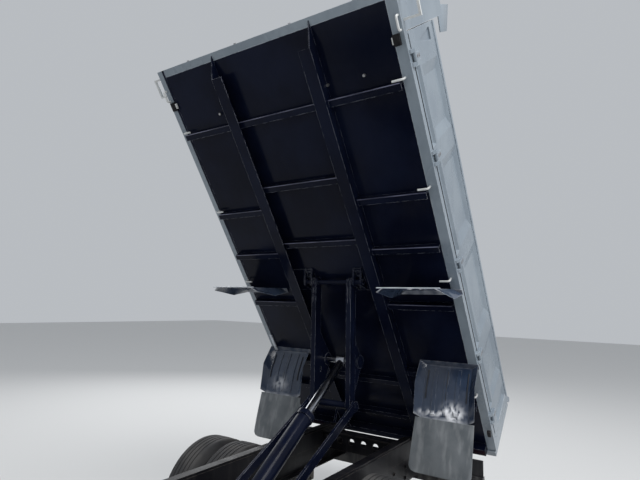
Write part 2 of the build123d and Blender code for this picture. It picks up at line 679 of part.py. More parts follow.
def cab_parts():
    """Cab shell, glass, doors, door glass, lamps and grille, cut from one form."""
    outer, inner = cab_form(0), cab_form(CAB_WALL)
    glass = cab_form(GLASS_IN) - cab_form(GLASS_IN + GLASS_T)
    upper = inner & block((CAB_REAR, CAB_FRONT), (-CAB_HALF, CAB_HALF), (CAB_FLOOR + CAB_FLOOR_T, CAB_ROOF))
    lower = inner & block((CAB_REAR, CAB_FRONT), (-CAB_HALF, CAB_HALF), (0, CAB_FLOOR))
    back_open = block((CAB_REAR - 5, CAB_REAR + CAB_WALL + 5), (-CAB_HALF + 60, CAB_HALF - 60),
                      (0, CAB_FLOOR - 60))
    wall = outer - upper
    shell = wall - lower - back_open
    shell -= rod_y(WHEELBASE, AXLE_Z, -CAB_HALF - 5, CAB_HALF + 5, ARCH_R)
    step = block(STEP_X, (CAB_HALF - 160, CAB_HALF + 5), STEP_Z)
    screen = bar(windscreen_cut(), CAB_FRONT - 410, CAB_FRONT + 20)
    back = bar(rear_window_cut(), CAB_REAR - 20, CAB_REAR + 100)
    side_cut = slab(door_outline(0), CAB_HALF - 230, CAB_HALF + 20)
    shell -= screen
    shell -= back
    for cut in both(side_cut) + both(step):
        shell -= cut
    door_skin = (outer - inner) & slab(door_outline(DOOR_GAP), CAB_HALF - 230, CAB_HALF + 20)
    pane_cut = slab(door_window(), CAB_HALF - 230, CAB_HALF + 20)
    door = door_skin - pane_cut
    door_pane = glass & pane_cut
    screens = [glass & screen, glass & back]
    lamp = (outer - cab_form(46)) & lamp_block()
    grille = (outer - cab_form(30)) & grille_block()
    for piece in both(lamp_block()) + [grille_block()]:
        shell -= piece
    pitch = (LAMP_Z[1] - LAMP_Z[0] - 32) / GRILLE_SLATS
    for k in range(GRILLE_SLATS):
        z = LAMP_Z[0] + 30 + k * pitch
        grille -= block((CAB_FRONT - 60, CAB_FRONT + 20), (15 - GRILLE_HALF, GRILLE_HALF - 15),
                        (z, z + pitch / 2))
    return shell, screens, door, door_pane, lamp, grille


def door_hinges():
    """Left door hinges: pins and lugs on the cab, knuckles on the door."""
    x, y = DOOR_HINGE_X, CAB_HALF + DOOR_HINGE_OUT
    pins, knuckles = [], []
    for z in DOOR_HINGE_Z:
        lug = block((x - 9, x + 40), (CAB_HALF - 6, y + 9), (z, z + 16))
        pins.append(fuse([lug, rod_z(x, y, z, z + 60, DOOR_PIN_R)]))
        arm = block((x - 60, x - 5), (CAB_HALF - 4, y + 6), (z + 16 + RUN_GAP, z + 56))
        ring = rod_z(x, y, z + 16 + RUN_GAP, z + 56, DOOR_PIN_R + 5)
        knuckles.append(fuse([arm, ring]) - rod_z(x, y, z, z + 61, DOOR_PIN_R + RUN_GAP))
    return pins, knuckles


def door_handle():
    """Grip on the left door's outer face, clear of the skin between its ends."""
    y = CAB_HALF
    x0 = DOOR_REAR + 70
    x1 = x0 + HANDLE_LEN
    grip = block((x0, x1), (y + 16, y + 28), HANDLE_Z)
    feet = [block((x - 10, x + 10), (y, y + 16), HANDLE_Z) for x in (x0 + 10, x1 - 10)]
    return fuse([grip] + feet)


def dashboard():
    """Dash across the cab, with the steering column and wheel."""
    half = CAB_HALF - CAB_WALL - 8
    front = DASH_FRONT
    profile = outline((front - 280, 1050, 0), (front - 250, 1180, 0), (front, 1215, 0), (front, 900, 0),
                      (front - 160, 900, 0))
    dash = slab(profile, -half, half)
    hub = Pos(front - WHEEL_BACK, -CAB_HALF * 0.44, WHEEL_Z) * Rot(0, -32, 0)
    column = hub * Pos(0, 0, -260) * extrude(Circle(28), amount=260)
    wheel = hub * Torus(WHEEL_R, 15)
    spokes = hub * (Box(2 * WHEEL_R, 36, 14) + Cylinder(52, 30))
    post = block((front - 160, front - 100), (-400, -340), (CAB_FLOOR + CAB_FLOOR_T, 900))
    return fuse([dash, column, wheel, spokes, post])


def seats():
    """Driver's seat and the two-place bench beside it: cushions and backs."""
    found = []
    x0, x1 = SEAT_X
    top, half = SEAT_Z + SEAT_T, CAB_HALF - CAB_WALL - 103
    for y0, y1 in ((-half, -190), (-150, half)):
        found.append(block((x0, x1), (y0, y1), (SEAT_Z, top)))
        back = outline((x0, top + SEAT_GAP, 0), (x0 - 90, top + SEAT_GAP, 0), (x0 - 180, top + 560, 0),
                       (x0 - 110, top + 580, 0))
        found.append(slab(back, y0, y1))
    found.append(block((CAB_REAR + CAB_WALL + 8, x1 - 40), (-half - 40, half + 40),
                       (CAB_FLOOR + CAB_FLOOR_T, SEAT_Z - SEAT_GAP)))
    return found


def mirror_unit():
    """Left mirror head on its stay."""
    x0, x1 = DOOR_HINGE_X + 8, DOOR_HINGE_X + 26
    near = CAB_HALF + 70
    head = fillet(block((x0 - 10, x1 + 10), (near, near + 135),
                        (BELT_Z + 90, BELT_Z + 400)).edges().filter_by(Axis.X),
                  18)
    stay = block((x0, x1), (CAB_HALF, near + 75), (BELT_Z - 34, BELT_Z - 16))
    post = block((x0, x1), (near + 57, near + 75), (BELT_Z - 34, BELT_Z + 100))
    return fuse([head, stay, post])


def bed_floor():
    """Floor plate."""
    return bed_block((BED_REAR, BED_FRONT - FRONT_WALL_T), (-BED_HALF, BED_HALF), (0, FLOOR_T))


def bed_sill():
    """Left long sill with its hinge arm, and the bracket of the lift arm's pin beside it."""
    top = UNDERSIDE
    front_top, front_low, rear = BED_FRONT - 15, BED_FRONT - 142, BED_REAR + REAR_BEAM_W
    web = slab(outline((rear, top, 0), (front_top, top, 0), (front_low, top - SILL_DEPTH, 0),
                       (rear, top - SILL_DEPTH, 0)), SILL_Y - SILL_WALL, SILL_Y)
    flange = bed_block((rear, front_low), (SILL_Y - SILL_FLANGE, SILL_Y - 1),
                       (-SILL_DEPTH, SILL_WALL - SILL_DEPTH))
    arm = hull((0, 0, 36), (-38, top - 8, 8), (150, top - 8, 8))
    hinge = slab(arm, SILL_Y - 2, SILL_Y + 16) - rod_y(0, 0, SILL_Y - 3, SILL_Y + 20, HINGE_R + PIN_GAP)
    pin_w = top - LIFT_PIN_DROP
    near = ARM_Y + ARM_W / 2 + 8
    far = near + BRACKET_W
    plate = hull((LIFT_PIN_U, pin_w, 30), (LIFT_PIN_U - 84, top - 6, 6), (LIFT_PIN_U + 84, top - 6, 6))
    bracket = slab(plate, near, near + BRACKET_T) + slab(plate, far - BRACKET_T, far)
    bracket += bed_block((LIFT_PIN_U - 84, LIFT_PIN_U + 84), (near + 1, SILL_Y - 1), (-8, 0))
    for shift in (-62, -36, 36, 62):
        deep = 42 - abs(shift) * 0.45
        bracket += bed_block((LIFT_PIN_U + shift - 4, LIFT_PIN_U + shift + 4), (near + 1, far - 1),
                             (-deep, -1))
    bracket -= rod_y(LIFT_PIN_U, pin_w, near - 1, far + 1, PIN_R + PIN_GAP)
    return fuse([web, flange, hinge, bracket])


def bed_crossmembers():
    """Angle cross-members between and outside the sills, and the rear beam."""
    inner = SILL_Y - SILL_WALL
    spans = [(u, -inner, inner) for u in INNER_CROSS_U] + [(u, SILL_Y, BED_HALF) for u in OUTER_CROSS_U]
    found = []
    for u, near, far in spans:
        strip = bed_block((u - CROSS_T / 2, u + CROSS_T / 2), (near, far), (-CROSS_DEPTH, 0))
        strip += bed_block((u - CROSS_W, u), (near, far), (-CROSS_DEPTH, 4 - CROSS_DEPTH))
        found += [strip] if near < 0 else both(strip)
    found.append(bed_block((BED_REAR, BED_REAR + REAR_BEAM_W), (-BED_HALF, BED_HALF), (-REAR_BEAM_DEPTH, 0)))
    return found


def rail_fittings():
    """Rope hooks, grips and catches under the side rails, and the loops at the front corners."""
    under, found = UNDERSIDE, []
    reach, low = BED_HALF + 14, under - HOOK_DROP
    for u in HOOK_U:
        found.append(pipe([(u, reach, under), (u, reach, low), (u, reach - 60, low)], HOOK_R, 2 * HOOK_R))
    y, low = BED_HALF + RAIL_W * 0.78, under - GRIP_DROP
    u0, u1 = GRIP_U
    found.append(pipe([(u0, y, under), (u0, y, low), (u1, y, low), (u1, y, under)], HOOK_R, 2 * HOOK_R))
    found.append(bed_block((u0 - 64, u0 - 12), (BED_HALF + 4, BED_HALF + 36), (-22, 0)))
    (u0, u1), out = LOOP_U, SIDE_OUT + LOOP_OUT
    n = (RAIL_H - 10, RAIL_H - 10 + LOOP_BAR)
    legs = [bed_block((u, u + LOOP_BAR), (SIDE_OUT, out), n) for u in (u0, u1 - LOOP_BAR)]
    found.append(fuse(legs + [bed_block((u0, u1), (out - LOOP_BAR, out), n)]))
    return [piece for one in found for piece in both(one)]


def bed_body():
    """Side rails, front wall with its ribs and posts, and rear posts."""
    rail = bed_block((BED_REAR, BED_FRONT), (BED_HALF, SIDE_OUT), (0, RAIL_H))
    wall_u = (BED_FRONT - FRONT_WALL_T, BED_FRONT)
    wall = bed_block(wall_u, (-BED_HALF, BED_HALF), (0, FRONT_WALL_TOP))
    for k in range(5):
        y = -BED_HALF + 90 + k * 290
        wall -= bed_block((BED_FRONT - 18, BED_FRONT + 1), (y, y + 220), (80, FRONT_WALL_TOP - 70))
    post = bed_block((BOARD_FRONT + BOARD_GAP, BED_FRONT), (BED_HALF, SIDE_OUT), (RAIL_H, FRONT_WALL_TOP))
    rear_post = bed_block((BED_REAR, BOARD_REAR - BOARD_GAP), (BED_HALF, SIDE_OUT), (RAIL_H, BOARD_TOP + 20))
    ear_w = UNDERSIDE + TAILGATE_PIN_N
    ear = slab(hull((TAILGATE_PIN_U, ear_w, TAILGATE_EAR_R), (BED_REAR + 20, ear_w - 36, 16)),
               SIDE_OUT - 22, SIDE_OUT)
    pin = rod_y(TAILGATE_PIN_U, ear_w, SIDE_OUT - 46, SIDE_OUT - 20, TAILGATE_PIN_R)
    hinges = []
    for u in HINGE_U:
        for s in (-1, 1):
            near, far = sorted((u + s * (BOARD_KNUCKLE_HALF + SIDE_GAP), u + s * (BOARD_KNUCKLE_HALF + 22)))
            axis_w = UNDERSIDE + BOARD_AXIS_N
            lug = hull((BOARD_AXIS_Y, axis_w, 8), (SIDE_OUT, axis_w - 18, 10), (SIDE_OUT, axis_w - 10, 6))
            hinges += both(bar(lug, near, far))
        reach = BOARD_KNUCKLE_HALF + 20
        hinges += both(rod_x(BOARD_AXIS_Y, UNDERSIDE + BOARD_AXIS_N, u - reach, u + reach, BOARD_PIN_R))
    sides = [rail, post, rear_post, ear, pin]
    return fuse([wall] + [piece for side in sides for piece in both(side)] + hinges)


def pressed_field(u0, u1, low, high, slope, depth):
    """Recess pressed into an outer face at SIDE_OUT, with ends that slope and narrow top and bottom walls."""
    n0, n1 = low + UNDERSIDE, high + UNDERSIDE
    mouth = outline((u0, n0, 0), (u1, n0, 0), (u1, n1, 0), (u0, n1, 0))
    floor = outline((u0 + slope, n0 + 14, 0), (u1 - slope, n0 + 14, 0), (u1 - slope, n1 - 26, 0),
                    (u0 + slope, n1 - 26, 0))
    return loft([Pos(0, SIDE_OUT, 0) * (Plane.XZ * mouth), Pos(0, SIDE_OUT - depth, 0) * (Plane.XZ * floor)])


def lower_strip(u0, u1):
    """Recess along a board's lower edge, open below, with a sloping upper wall."""
    n0, n1 = RAIL_H + UNDERSIDE, STRIP_TOP + UNDERSIDE
    mouth = outline((u0, n0, 0), (u1, n0, 0), (u1, n1, 0), (u0, n1, 0))
    floor = outline((u0 + 12, n0, 0), (u1 - 12, n0, 0), (u1 - 12, n1 - 14, 0), (u0 + 12, n1 - 14, 0))
    depth = PRESS_DEPTH * 0.8
    return loft([Pos(0, SIDE_OUT, 0) * (Plane.XZ * mouth), Pos(0, SIDE_OUT - depth, 0) * (Plane.XZ * floor)])


def side_board():
    """Left drop side: panel with pressed fields between hinge pads, top rim and hinge straps."""
    y0, y1 = SIDE_OUT - BOARD_T, SIDE_OUT
    n0 = RAIL_H + BOARD_GAP
    panel = bed_block((BOARD_REAR, BOARD_FRONT), (y0, y1), (n0, BOARD_TOP))
    panel += bed_block((BOARD_REAR, BOARD_FRONT), (y1 - 8, y1 + 5), (BOARD_TOP - 24, BOARD_TOP))
    pads = sorted(HINGE_U)
    for near, far in zip(pads, pads[1:]):
        panel -= pressed_field(near + PAD_HALF, far - PAD_HALF, FIELD_LOW, FIELD_HIGH, PAD_BEVEL, PRESS_DEPTH)
        panel -= lower_strip(near + PAD_HALF - 8, far - PAD_HALF + 8)
    panel -= pressed_field(BOARD_REAR + 22, pads[0] - PAD_HALF, FIELD_LOW, FIELD_HIGH, 26, PRESS_DEPTH)
    corner = hull((BOARD_FRONT - 64, FIELD_LOW + 60 + UNDERSIDE, 8),
                  (BOARD_FRONT - 30, FIELD_HIGH - 60 + UNDERSIDE, 8),
                  (BOARD_FRONT - 84, FIELD_HIGH - 60 + UNDERSIDE, 8))
    panel -= slab(corner, y1 - 9, y1 + 1)
    straps, bores = [], []
    axis_w = UNDERSIDE + BOARD_AXIS_N
    for u in HINGE_U:
        u0, u1 = u - BOARD_KNUCKLE_HALF, u + BOARD_KNUCKLE_HALF
        straps.append(bed_block((u0, u1), (SIDE_OUT - 6, BOARD_AXIS_Y + 7), (n0, n0 + 60)))
        straps.append(rod_x(BOARD_AXIS_Y, axis_w, u0, u1, BOARD_KNUCKLE_R))
        bores.append(rod_x(BOARD_AXIS_Y, axis_w, u0 - 1, u1 + 1, BOARD_PIN_R + RUN_GAP))
    return fuse([panel] + straps).cut(*bores)


def tailgate():
    """Tailgate with pressed fields and top hinge arms."""
    u1 = BED_REAR - BOARD_GAP
    u0 = u1 - TAILGATE_T
    panel = bed_block((u0, u1), (-SIDE_OUT + 4, SIDE_OUT - 4), (-10, BOARD_TOP))
    count = 3
    pitch = 2 * (SIDE_OUT - 4) / count
    for k in range(count):
        y = -SIDE_OUT + 4 + k * pitch
        panel -= bed_block((u0 - 1, u0 + 14), (y + 40, y + pitch - 40), (60, BOARD_TOP - 50))
    mid_u, pin_w = TAILGATE_PIN_U, UNDERSIDE + TAILGATE_PIN_N
    plate = hull((mid_u, pin_w, TAILGATE_EAR_R), (mid_u, UNDERSIDE + BOARD_TOP - 20, 20))
    ear = slab(plate, SIDE_OUT - 48, SIDE_OUT - 27)
    ear -= rod_y(mid_u, pin_w, SIDE_OUT - 50, SIDE_OUT - 20, TAILGATE_PIN_R + RUN_GAP)
    return fuse([panel] + both(ear))


def guard_face(line, near, far):
    """Side view of a strip that follows a guard's line, between two lists of shifts along the bed."""
    back = [(u + shift, n + UNDERSIDE, 0) for (u, n), shift in zip(line, near)]
    front = [(u + shift, n + UNDERSIDE, 0) for (u, n), shift in zip(line, far)]
    return Plane.XZ * outline(*back, *reversed(front))


def guard(line):
    """Left guard: bent trough with flared flanges towards the tyre, three pressed ribs and a top lip."""
    side = 1 if line[-1][0] > line[0][0] else -1
    crease = (GUARD_IN + GUARD_FLARE, GUARD_OUT - GUARD_FLARE)
    flat, skin = [0.0] * 3, [side * GUARD_T] * 3
    face = guard_face(line, flat, skin)
    parts = [Pos(0, crease[1], 0) * extrude(face, amount=crease[1] - crease[0])]
    deep = [-side * d for d in FLANGE_DEPTHS]
    edge = [d + side * GUARD_T for d in deep]
    for y0, y1 in ((crease[0] + 1, GUARD_IN), (crease[1] - 1, GUARD_OUT)):
        parts.append(loft([Pos(0, y0, 0) * face, Pos(0, y1, 0) * guard_face(line, deep, edge)], ruled=True))
    lip = sorted((line[0][0] + side * GUARD_T, line[0][0] - side * FLANGE_DEPTHS[0]))
    parts.append(bed_block(lip, (GUARD_IN, GUARD_OUT), (-GUARD_T, 0)))
    pitch = (crease[1] - crease[0]) / 4
    near = [tuple(a + (b - a) * 0.16 for a, b in zip(line[0], line[1]))]
    far = [tuple(a + (b - a) * 0.14 for a, b in zip(line[-1], line[-2]))]
    rib_line = near + list(line[1:-1]) + far
    rib = guard_face(rib_line, [side] * 3, [-side * RIB_H] * 3)
    for k in range(3):
        y = crease[0] + pitch * (k + 1) + RIB_W / 2
        parts.append(Pos(0, y, 0) * extrude(rib, amount=RIB_W))
    return fuse(parts)


def mud_flap():
    """Left rubber flap, in line with the lower part of the rear guard."""
    (u0, n0), (u1, n1) = REAR_GUARD[-2:]
    reach = hypot(u1 - u0, n1 - n0)
    du, dn = (u1 - u0) / reach, (n1 - n0) / reach
    u, n = u1 - GUARD_T / 2 + du * SEAT_GAP, n1 + dn * SEAT_GAP
    half = FLAP_T / 2
    side = outline((u - half, n + UNDERSIDE, 0), (u + half, n + UNDERSIDE, 0),
                   (u + half + du * FLAP_LEN, n + UNDERSIDE + dn * FLAP_LEN, 0),
                   (u - half + du * FLAP_LEN, n + UNDERSIDE + dn * FLAP_LEN, 0))
    return slab(side, GUARD_IN + GUARD_FLARE * 0.4, GUARD_OUT - GUARD_FLARE * 0.4)


def lift_arm():
    """Twin tapered bars from the bed pin to the foot, with gussets that carry the ram's eye."""
    (px, pz), (jx, jz), (rx, rz) = LIFT_PIN, ARM_FOOT, ARM_EYE
    dx, dz = ARM_DIR
    y0, y1 = ARM_Y - ARM_W / 2, ARM_Y + ARM_W / 2
    knee = (px + dx * 150, pz + dz * 150)
    root = (px + dx * 330, pz + dz * 330)
    web = slab(hull((px, pz, 27), (knee[0], knee[1], ARM_HALF), (jx, jz, ARM_HALF)), y0 + 10, y1 - 10)
    skins = [slab(hull((px, pz, ARM_HALF), (jx, jz, ARM_HALF)), y, y + 10) for y in (y0, y1 - 10)]
    gusset = slab(hull((rx, rz, EYE_R), (root[0], root[1], 16), (jx, jz, 24)), y0, y0 + ARM_PLATE)
    hollow = (rx * 0.25 + root[0] * 0.30 + jx * 0.45, rz * 0.25 + root[1] * 0.30 + jz * 0.45)
    gusset -= rod_y(hollow[0], hollow[1], y0 - 1, y0 + ARM_PLATE + 1, 20)
    boss = rod_y(rx, rz, y0 - 4, y0 + 22, EYE_R)
    collar = rod_y(px, pz, y1, y1 + 6, 24)
    pieces = both(fuse([web] + skins + [gusset, boss, collar]))
    pin_end = ARM_Y + ARM_W / 2 + 76
    pin = rod_y(px, pz, -pin_end, pin_end, PIN_R)
    foot = rod_y(jx, jz, -y1, y1, 22)
    return fuse(pieces + [pin, foot])


def tension_link():
    """Left tension link, with an eye at each end and its base pin."""
    (ax, az), (jx, jz) = LINK_BASE, ARM_FOOT
    y0 = ARM_Y + ARM_W / 2 + LINK_GAP
    y1 = y0 + LINK_W
    web = slab(hull((ax, az, LINK_HALF), (jx, jz, LINK_HALF)), y0 + 2, y1 - 2)
    eyes = [rod_y(ax, az, y0, y1, EYE_R - 8), rod_y(jx, jz, y0, y1, EYE_R - 8), rod_y(jx, jz, y1, y1 + 8, 22)]
    pin = rod_y(ax, az, y1, y1 + 22, PIN_R)
    return fuse([web, pin] + eyes)


def ram_piece(shape):
    """A ram piece drawn along +X from its base pin, put at its angle."""
    return Pos(RAM_BASE[0], 0, RAM_BASE[1]) * Rot(0, -RAM_ANGLE, 0) * shape


def ram_barrel():
    """Barrel with base eye, pin, end weld and gland."""
    half = ROD_EYE_W / 2
    eye = rod_y(0, 0, -half, half, EYE_R - 4)
    pin = rod_y(0, 0, -half - 20, half + 20, PIN_R)
    neck = rod_x(0, 0, 20, 50, 30)
    body = rod_x(0, 0, 46, BARREL_LEN - GLAND_LEN, BARREL_R)
    gland = rod_x(0, 0, BARREL_LEN - GLAND_LEN, BARREL_LEN, GLAND_R)
    bore = rod_x(0, 0, 80, BARREL_LEN + 1, ROD_R + PIN_GAP)
    return ram_piece(fuse([eye, pin, neck, body, gland]) - bore)


def ram_rod():
    """Rod with its eye and cross pin."""
    half = ROD_EYE_W / 2
    eye = rod_y(RAM_LEN, 0, -half, half, EYE_R - 2)
    pin_half = ARM_Y - ARM_W / 2 - 4 - SIDE_GAP
    pin = rod_y(RAM_LEN, 0, -pin_half, pin_half, PIN_R + 4)
    shaft = rod_x(0, 0, RAM_LEN - 690, RAM_LEN, ROD_R)
    return ram_piece(fuse([eye, pin, shaft]))


def write(name, *shapes):
    """Write one node, moved to the part's origin."""
    solids = [s for shape in shapes for s in shape.solids()]
    placed = [Pos(-ORIGIN_X, 0, 0) * s for s in solids]
    export_step(placed[0] if len(placed) == 1 else Compound(children=placed), f"parts/{name}.step")


def main():
    """Build and write every node."""
    os.makedirs("parts", exist_ok=True)
    shell, screens, door, door_pane, lamp, grille = cab_parts()
    pins, knuckles = door_hinges()
    hinge_pins = [p for pin in pins for p in both(pin)]
    write("frame_rails", *both(frame_rails()))
    write("cross_members", *cross_members())
    write("subframe", subframe())
    write("axles", rear_axle(), front_axle())
    write("leaf_springs", *springs())
    write("drivetrain", engine(), prop_shaft())
    write("fuel_tank", fuel_tank())
    write("battery_box", battery_box())
    write("exhaust", exhaust())
    write("bumpers", bumper(), rear_bar())
    write("lamps", *both(lamp), *rear_lamps())
    write("cab_shell", shell.fuse(*hinge_pins))
    write("cab_glass", *screens)
    write("grille", grille)
    write("dashboard", dashboard())
    write("seats", *seats())
    write("mirrors", *both(mirror_unit()))
    for side, pieces in zip(("left", "right"), zip(*[both(p) for p in (
            fuse([door, door_handle()] + knuckles), door_pane, knuckle(), side_board(),
            at_axle(tyre(FRONT_WHEEL_Y), WHEELBASE), front_wheel(), rear_wheel())])):
        names = ("door", "door_glass", "knuckle", "side_board", "front_tyre", "front_wheel", "rear_wheels")
        for name, piece in zip(names, pieces):
            placed = on_bed(piece) if name == "side_board" else piece
            write(f"{name}_{side}", placed)
    twins = [at_axle(tyre(REAR_TWIN_Y + s * TWIN_SPACING / 2), 0) for s in (-1, 1)]
    write("rear_tyres_left", *twins)
    write("rear_tyres_right", *[mirror(t, about=Plane.XZ) for t in twins])
    write("bed_floor", on_bed(bed_floor()))
    write("bed_sills", *[on_bed(sill) for sill in both(bed_sill())])
    write("bed_crossmembers", *[on_bed(member) for member in bed_crossmembers()])
    write("bed_body", on_bed(bed_body()))
    write("rail_fittings", *[on_bed(piece) for piece in rail_fittings()])
    write("tailgate", on_bed(tailgate()))
    write("wheel_guards", *[on_bed(g) for line in (REAR_GUARD, FRONT_GUARD) for g in both(guard(line))])
    write("mud_flaps", *[on_bed(flap) for flap in both(mud_flap())])
    write("lift_arm", lift_arm())
    write("tension_links", *both(tension_link()))
    write("ram_barrel", ram_barrel())
    write("ram_rod", ram_rod())
    print("origin shift", ORIGIN_X)
    print("lift pin", LIFT_PIN, "arm foot", ARM_FOOT, "arm eye", ARM_EYE, "ram", RAM_LEN, RAM_ANGLE)


main()
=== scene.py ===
"""Dress the small dump truck: finishes, tyres, guards, flaps, fastenings, cab trim, camera and light."""

import logging
import math
from dataclasses import dataclass
from enum import Enum
from typing import Callable, Iterable, Sequence

import bmesh
import bpy
from mathutils import Matrix, Vector, noise


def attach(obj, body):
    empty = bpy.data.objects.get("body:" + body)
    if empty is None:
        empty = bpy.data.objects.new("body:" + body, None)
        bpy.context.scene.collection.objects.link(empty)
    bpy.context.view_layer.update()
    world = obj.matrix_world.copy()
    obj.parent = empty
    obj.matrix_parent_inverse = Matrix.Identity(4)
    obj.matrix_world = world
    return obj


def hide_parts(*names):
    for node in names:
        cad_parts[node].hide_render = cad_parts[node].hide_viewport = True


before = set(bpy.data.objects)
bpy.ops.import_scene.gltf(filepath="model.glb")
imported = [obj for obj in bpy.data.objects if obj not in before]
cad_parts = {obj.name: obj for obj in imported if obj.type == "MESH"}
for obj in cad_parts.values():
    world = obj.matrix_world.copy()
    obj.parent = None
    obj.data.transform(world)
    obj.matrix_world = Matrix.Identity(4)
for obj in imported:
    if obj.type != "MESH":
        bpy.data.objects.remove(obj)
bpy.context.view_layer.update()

log = logging.getLogger("dump_truck")

Colour = tuple[float, float, float]
Point = tuple[float, float, float]
Span = tuple[float, float]
Socket = bpy.types.NodeSocket
Piece = bpy.types.Object
Value = Socket | Colour | float

# The truck's main places, in metres: X ahead of the rear axle, Y to the left, Z up.
ORIGIN_X = 0.994372
WHEELBASE = 2.5
AXLE_Z = 0.355
TILT = math.radians(54.07)
HINGE = (-0.960, 0.630)
UNDERSIDE = 0.169
CAB_REAR = 2.130
CAB_HALF = 0.845
BELT_Z = 1.240


def place(x: float, y: float, z: float) -> Vector:
    """Point of the axle frame, in the part's own frame."""
    return Vector((x - ORIGIN_X, y, z))


# Placement of the axle frame, of the tipped bed (along, across, above the underside) and of the right side.
CHASSIS = Matrix.Translation(place(0.0, 0.0, 0.0))
BED = (Matrix.Translation(place(HINGE[0], 0.0, HINGE[1])) @ Matrix.Rotation(-TILT, 4, "Y")
       @ Matrix.Translation((0.0, 0.0, UNDERSIDE)))
BED_BODIES = ("bed", "tailgate", "side_board_{side}")
MIRROR = Matrix.Scale(-1.0, 4, (0.0, 1.0, 0.0))
SIDES = (("left", 1), ("right", -1))


class Facing(Enum):
    """The way a fastening's head points."""

    LEFT = (0.0, 1.0, 0.0)
    AHEAD = (1.0, 0.0, 0.0)
    BACK = (-1.0, 0.0, 0.0)


class Sheen(Enum):
    """Roughness range of a finish, from its glossiest to its dullest spots."""

    CHROME = (0.08, 0.22)
    WET = (0.10, 0.24)
    GLOSS = (0.16, 0.34)
    SATIN = (0.30, 0.50)
    DULL = (0.55, 0.75)
    RUBBER = (0.70, 0.88)


# Shader groups


class Wiring:
    """Nodes and links of one node tree."""

    def __init__(self, tree: bpy.types.NodeTree) -> None:
        """Work on the given tree."""
        self.tree = tree

    def feed(self, socket: Socket, value: Value) -> None:
        """Give an input its link or its value.

        Args:
            socket: The input.
            value: Output to link, or a colour or number to set.
        """
        if isinstance(value, Socket):
            self.tree.links.new(value, socket)
        elif socket.type == "RGBA":
            socket.default_value = (*value, 1.0)
        else:
            socket.default_value = value

    def add(self, kind: str, inputs: dict[str | int, Value] | None = None,
            **settings: object) -> bpy.types.Node:
        """Add a node.

        Args:
            kind: Type of the node, without its prefix.
            inputs: What each input gets, by name or place.
            **settings: The node's own settings.

        Returns:
            The node.
        """
        node = self.tree.nodes.new("ShaderNode" + kind)
        for label, value in settings.items():
            setattr(node, label, value)
        for label, value in (inputs or {}).items():
            self.feed(node.inputs[label], value)
        return node

    def speckle(self, scale: Value, detail: float, stretch: Point = (1.0, 1.0, 1.0)) -> Socket:
        """Noise on object coordinates.

        Args:
            scale: Scale of the noise.
            detail: Octaves of the noise.
            stretch: Scale of each axis before the noise.

        Returns:
            The noise's value.
        """
        where = self.add("TexCoord").outputs["Object"]
        where = self.add("Mapping", {"Vector": where, "Scale": stretch}).outputs["Vector"]
        return self.add("TexNoise", {"Vector": where, "Scale": scale, "Detail": detail}).outputs["Fac"]

    def step(self, value: Socket, limits: Span) -> Socket:
        """Smooth step of a value.

        Args:
            value: Value to read.
            limits: Values that give 0 and 1.

        Returns:
            The result, 0 to 1.
        """
        ends = {"Value": value, "From Min": limits[0], "From Max": limits[1]}
        return self.add("MapRange", ends, interpolation_type="SMOOTHSTEP").outputs["Result"]

    def reckon(self, operation: str, *values: Value, clamp: bool = False) -> Socket:
        """Work out a number.

        Args:
            operation: Name of the operation.
            *values: What it works on.
            clamp: Whether the result is kept within 0 and 1.

        Returns:
            The result.
        """
        return self.add("Math", dict(enumerate(values)), operation=operation, use_clamp=clamp).outputs[0]

    def axes(self, kind: str, source: str) -> Sequence[Socket]:
        """Components of a vector.

        Args:
            kind: Type of the node that gives it.
            source: Name of its output.

        Returns:
            X, Y and Z.
        """
        return self.add("SeparateXYZ", {"Vector": self.add(kind).outputs[source]}).outputs


class SharedGroup(Wiring):
    """A node group with numbers as inputs and one output."""

    def __init__(self, name: str, output: str, **inputs: float) -> None:
        """Start the group.

        Args:
            name: Name of the group.
            output: Name of its output.
            **inputs: Default of each input.
        """
        super().__init__(bpy.data.node_groups.new(name, "ShaderNodeTree"))
        sockets = self.tree.interface
        for label, value in inputs.items():
            sockets.new_socket(label, in_out="INPUT", socket_type="NodeSocketFloat").default_value = value
        sockets.new_socket(output, in_out="OUTPUT", socket_type="NodeSocketFloat")
        self.given = self.tree.nodes.new("NodeGroupInput").outputs
        self.result = self.tree.nodes.new("NodeGroupOutput").inputs[output]

    def close(self, *factors: Socket) -> bpy.types.NodeTree:
        """Put out the product of the factors.

        Args:
            *factors: One value or more.

        Returns:
            The finished group.
        """
        value = factors[0]
        for factor in factors[1:]:
            value = self.reckon("MULTIPLY", value, factor)
        self.tree.links.new(value, self.result)
        return self.tree


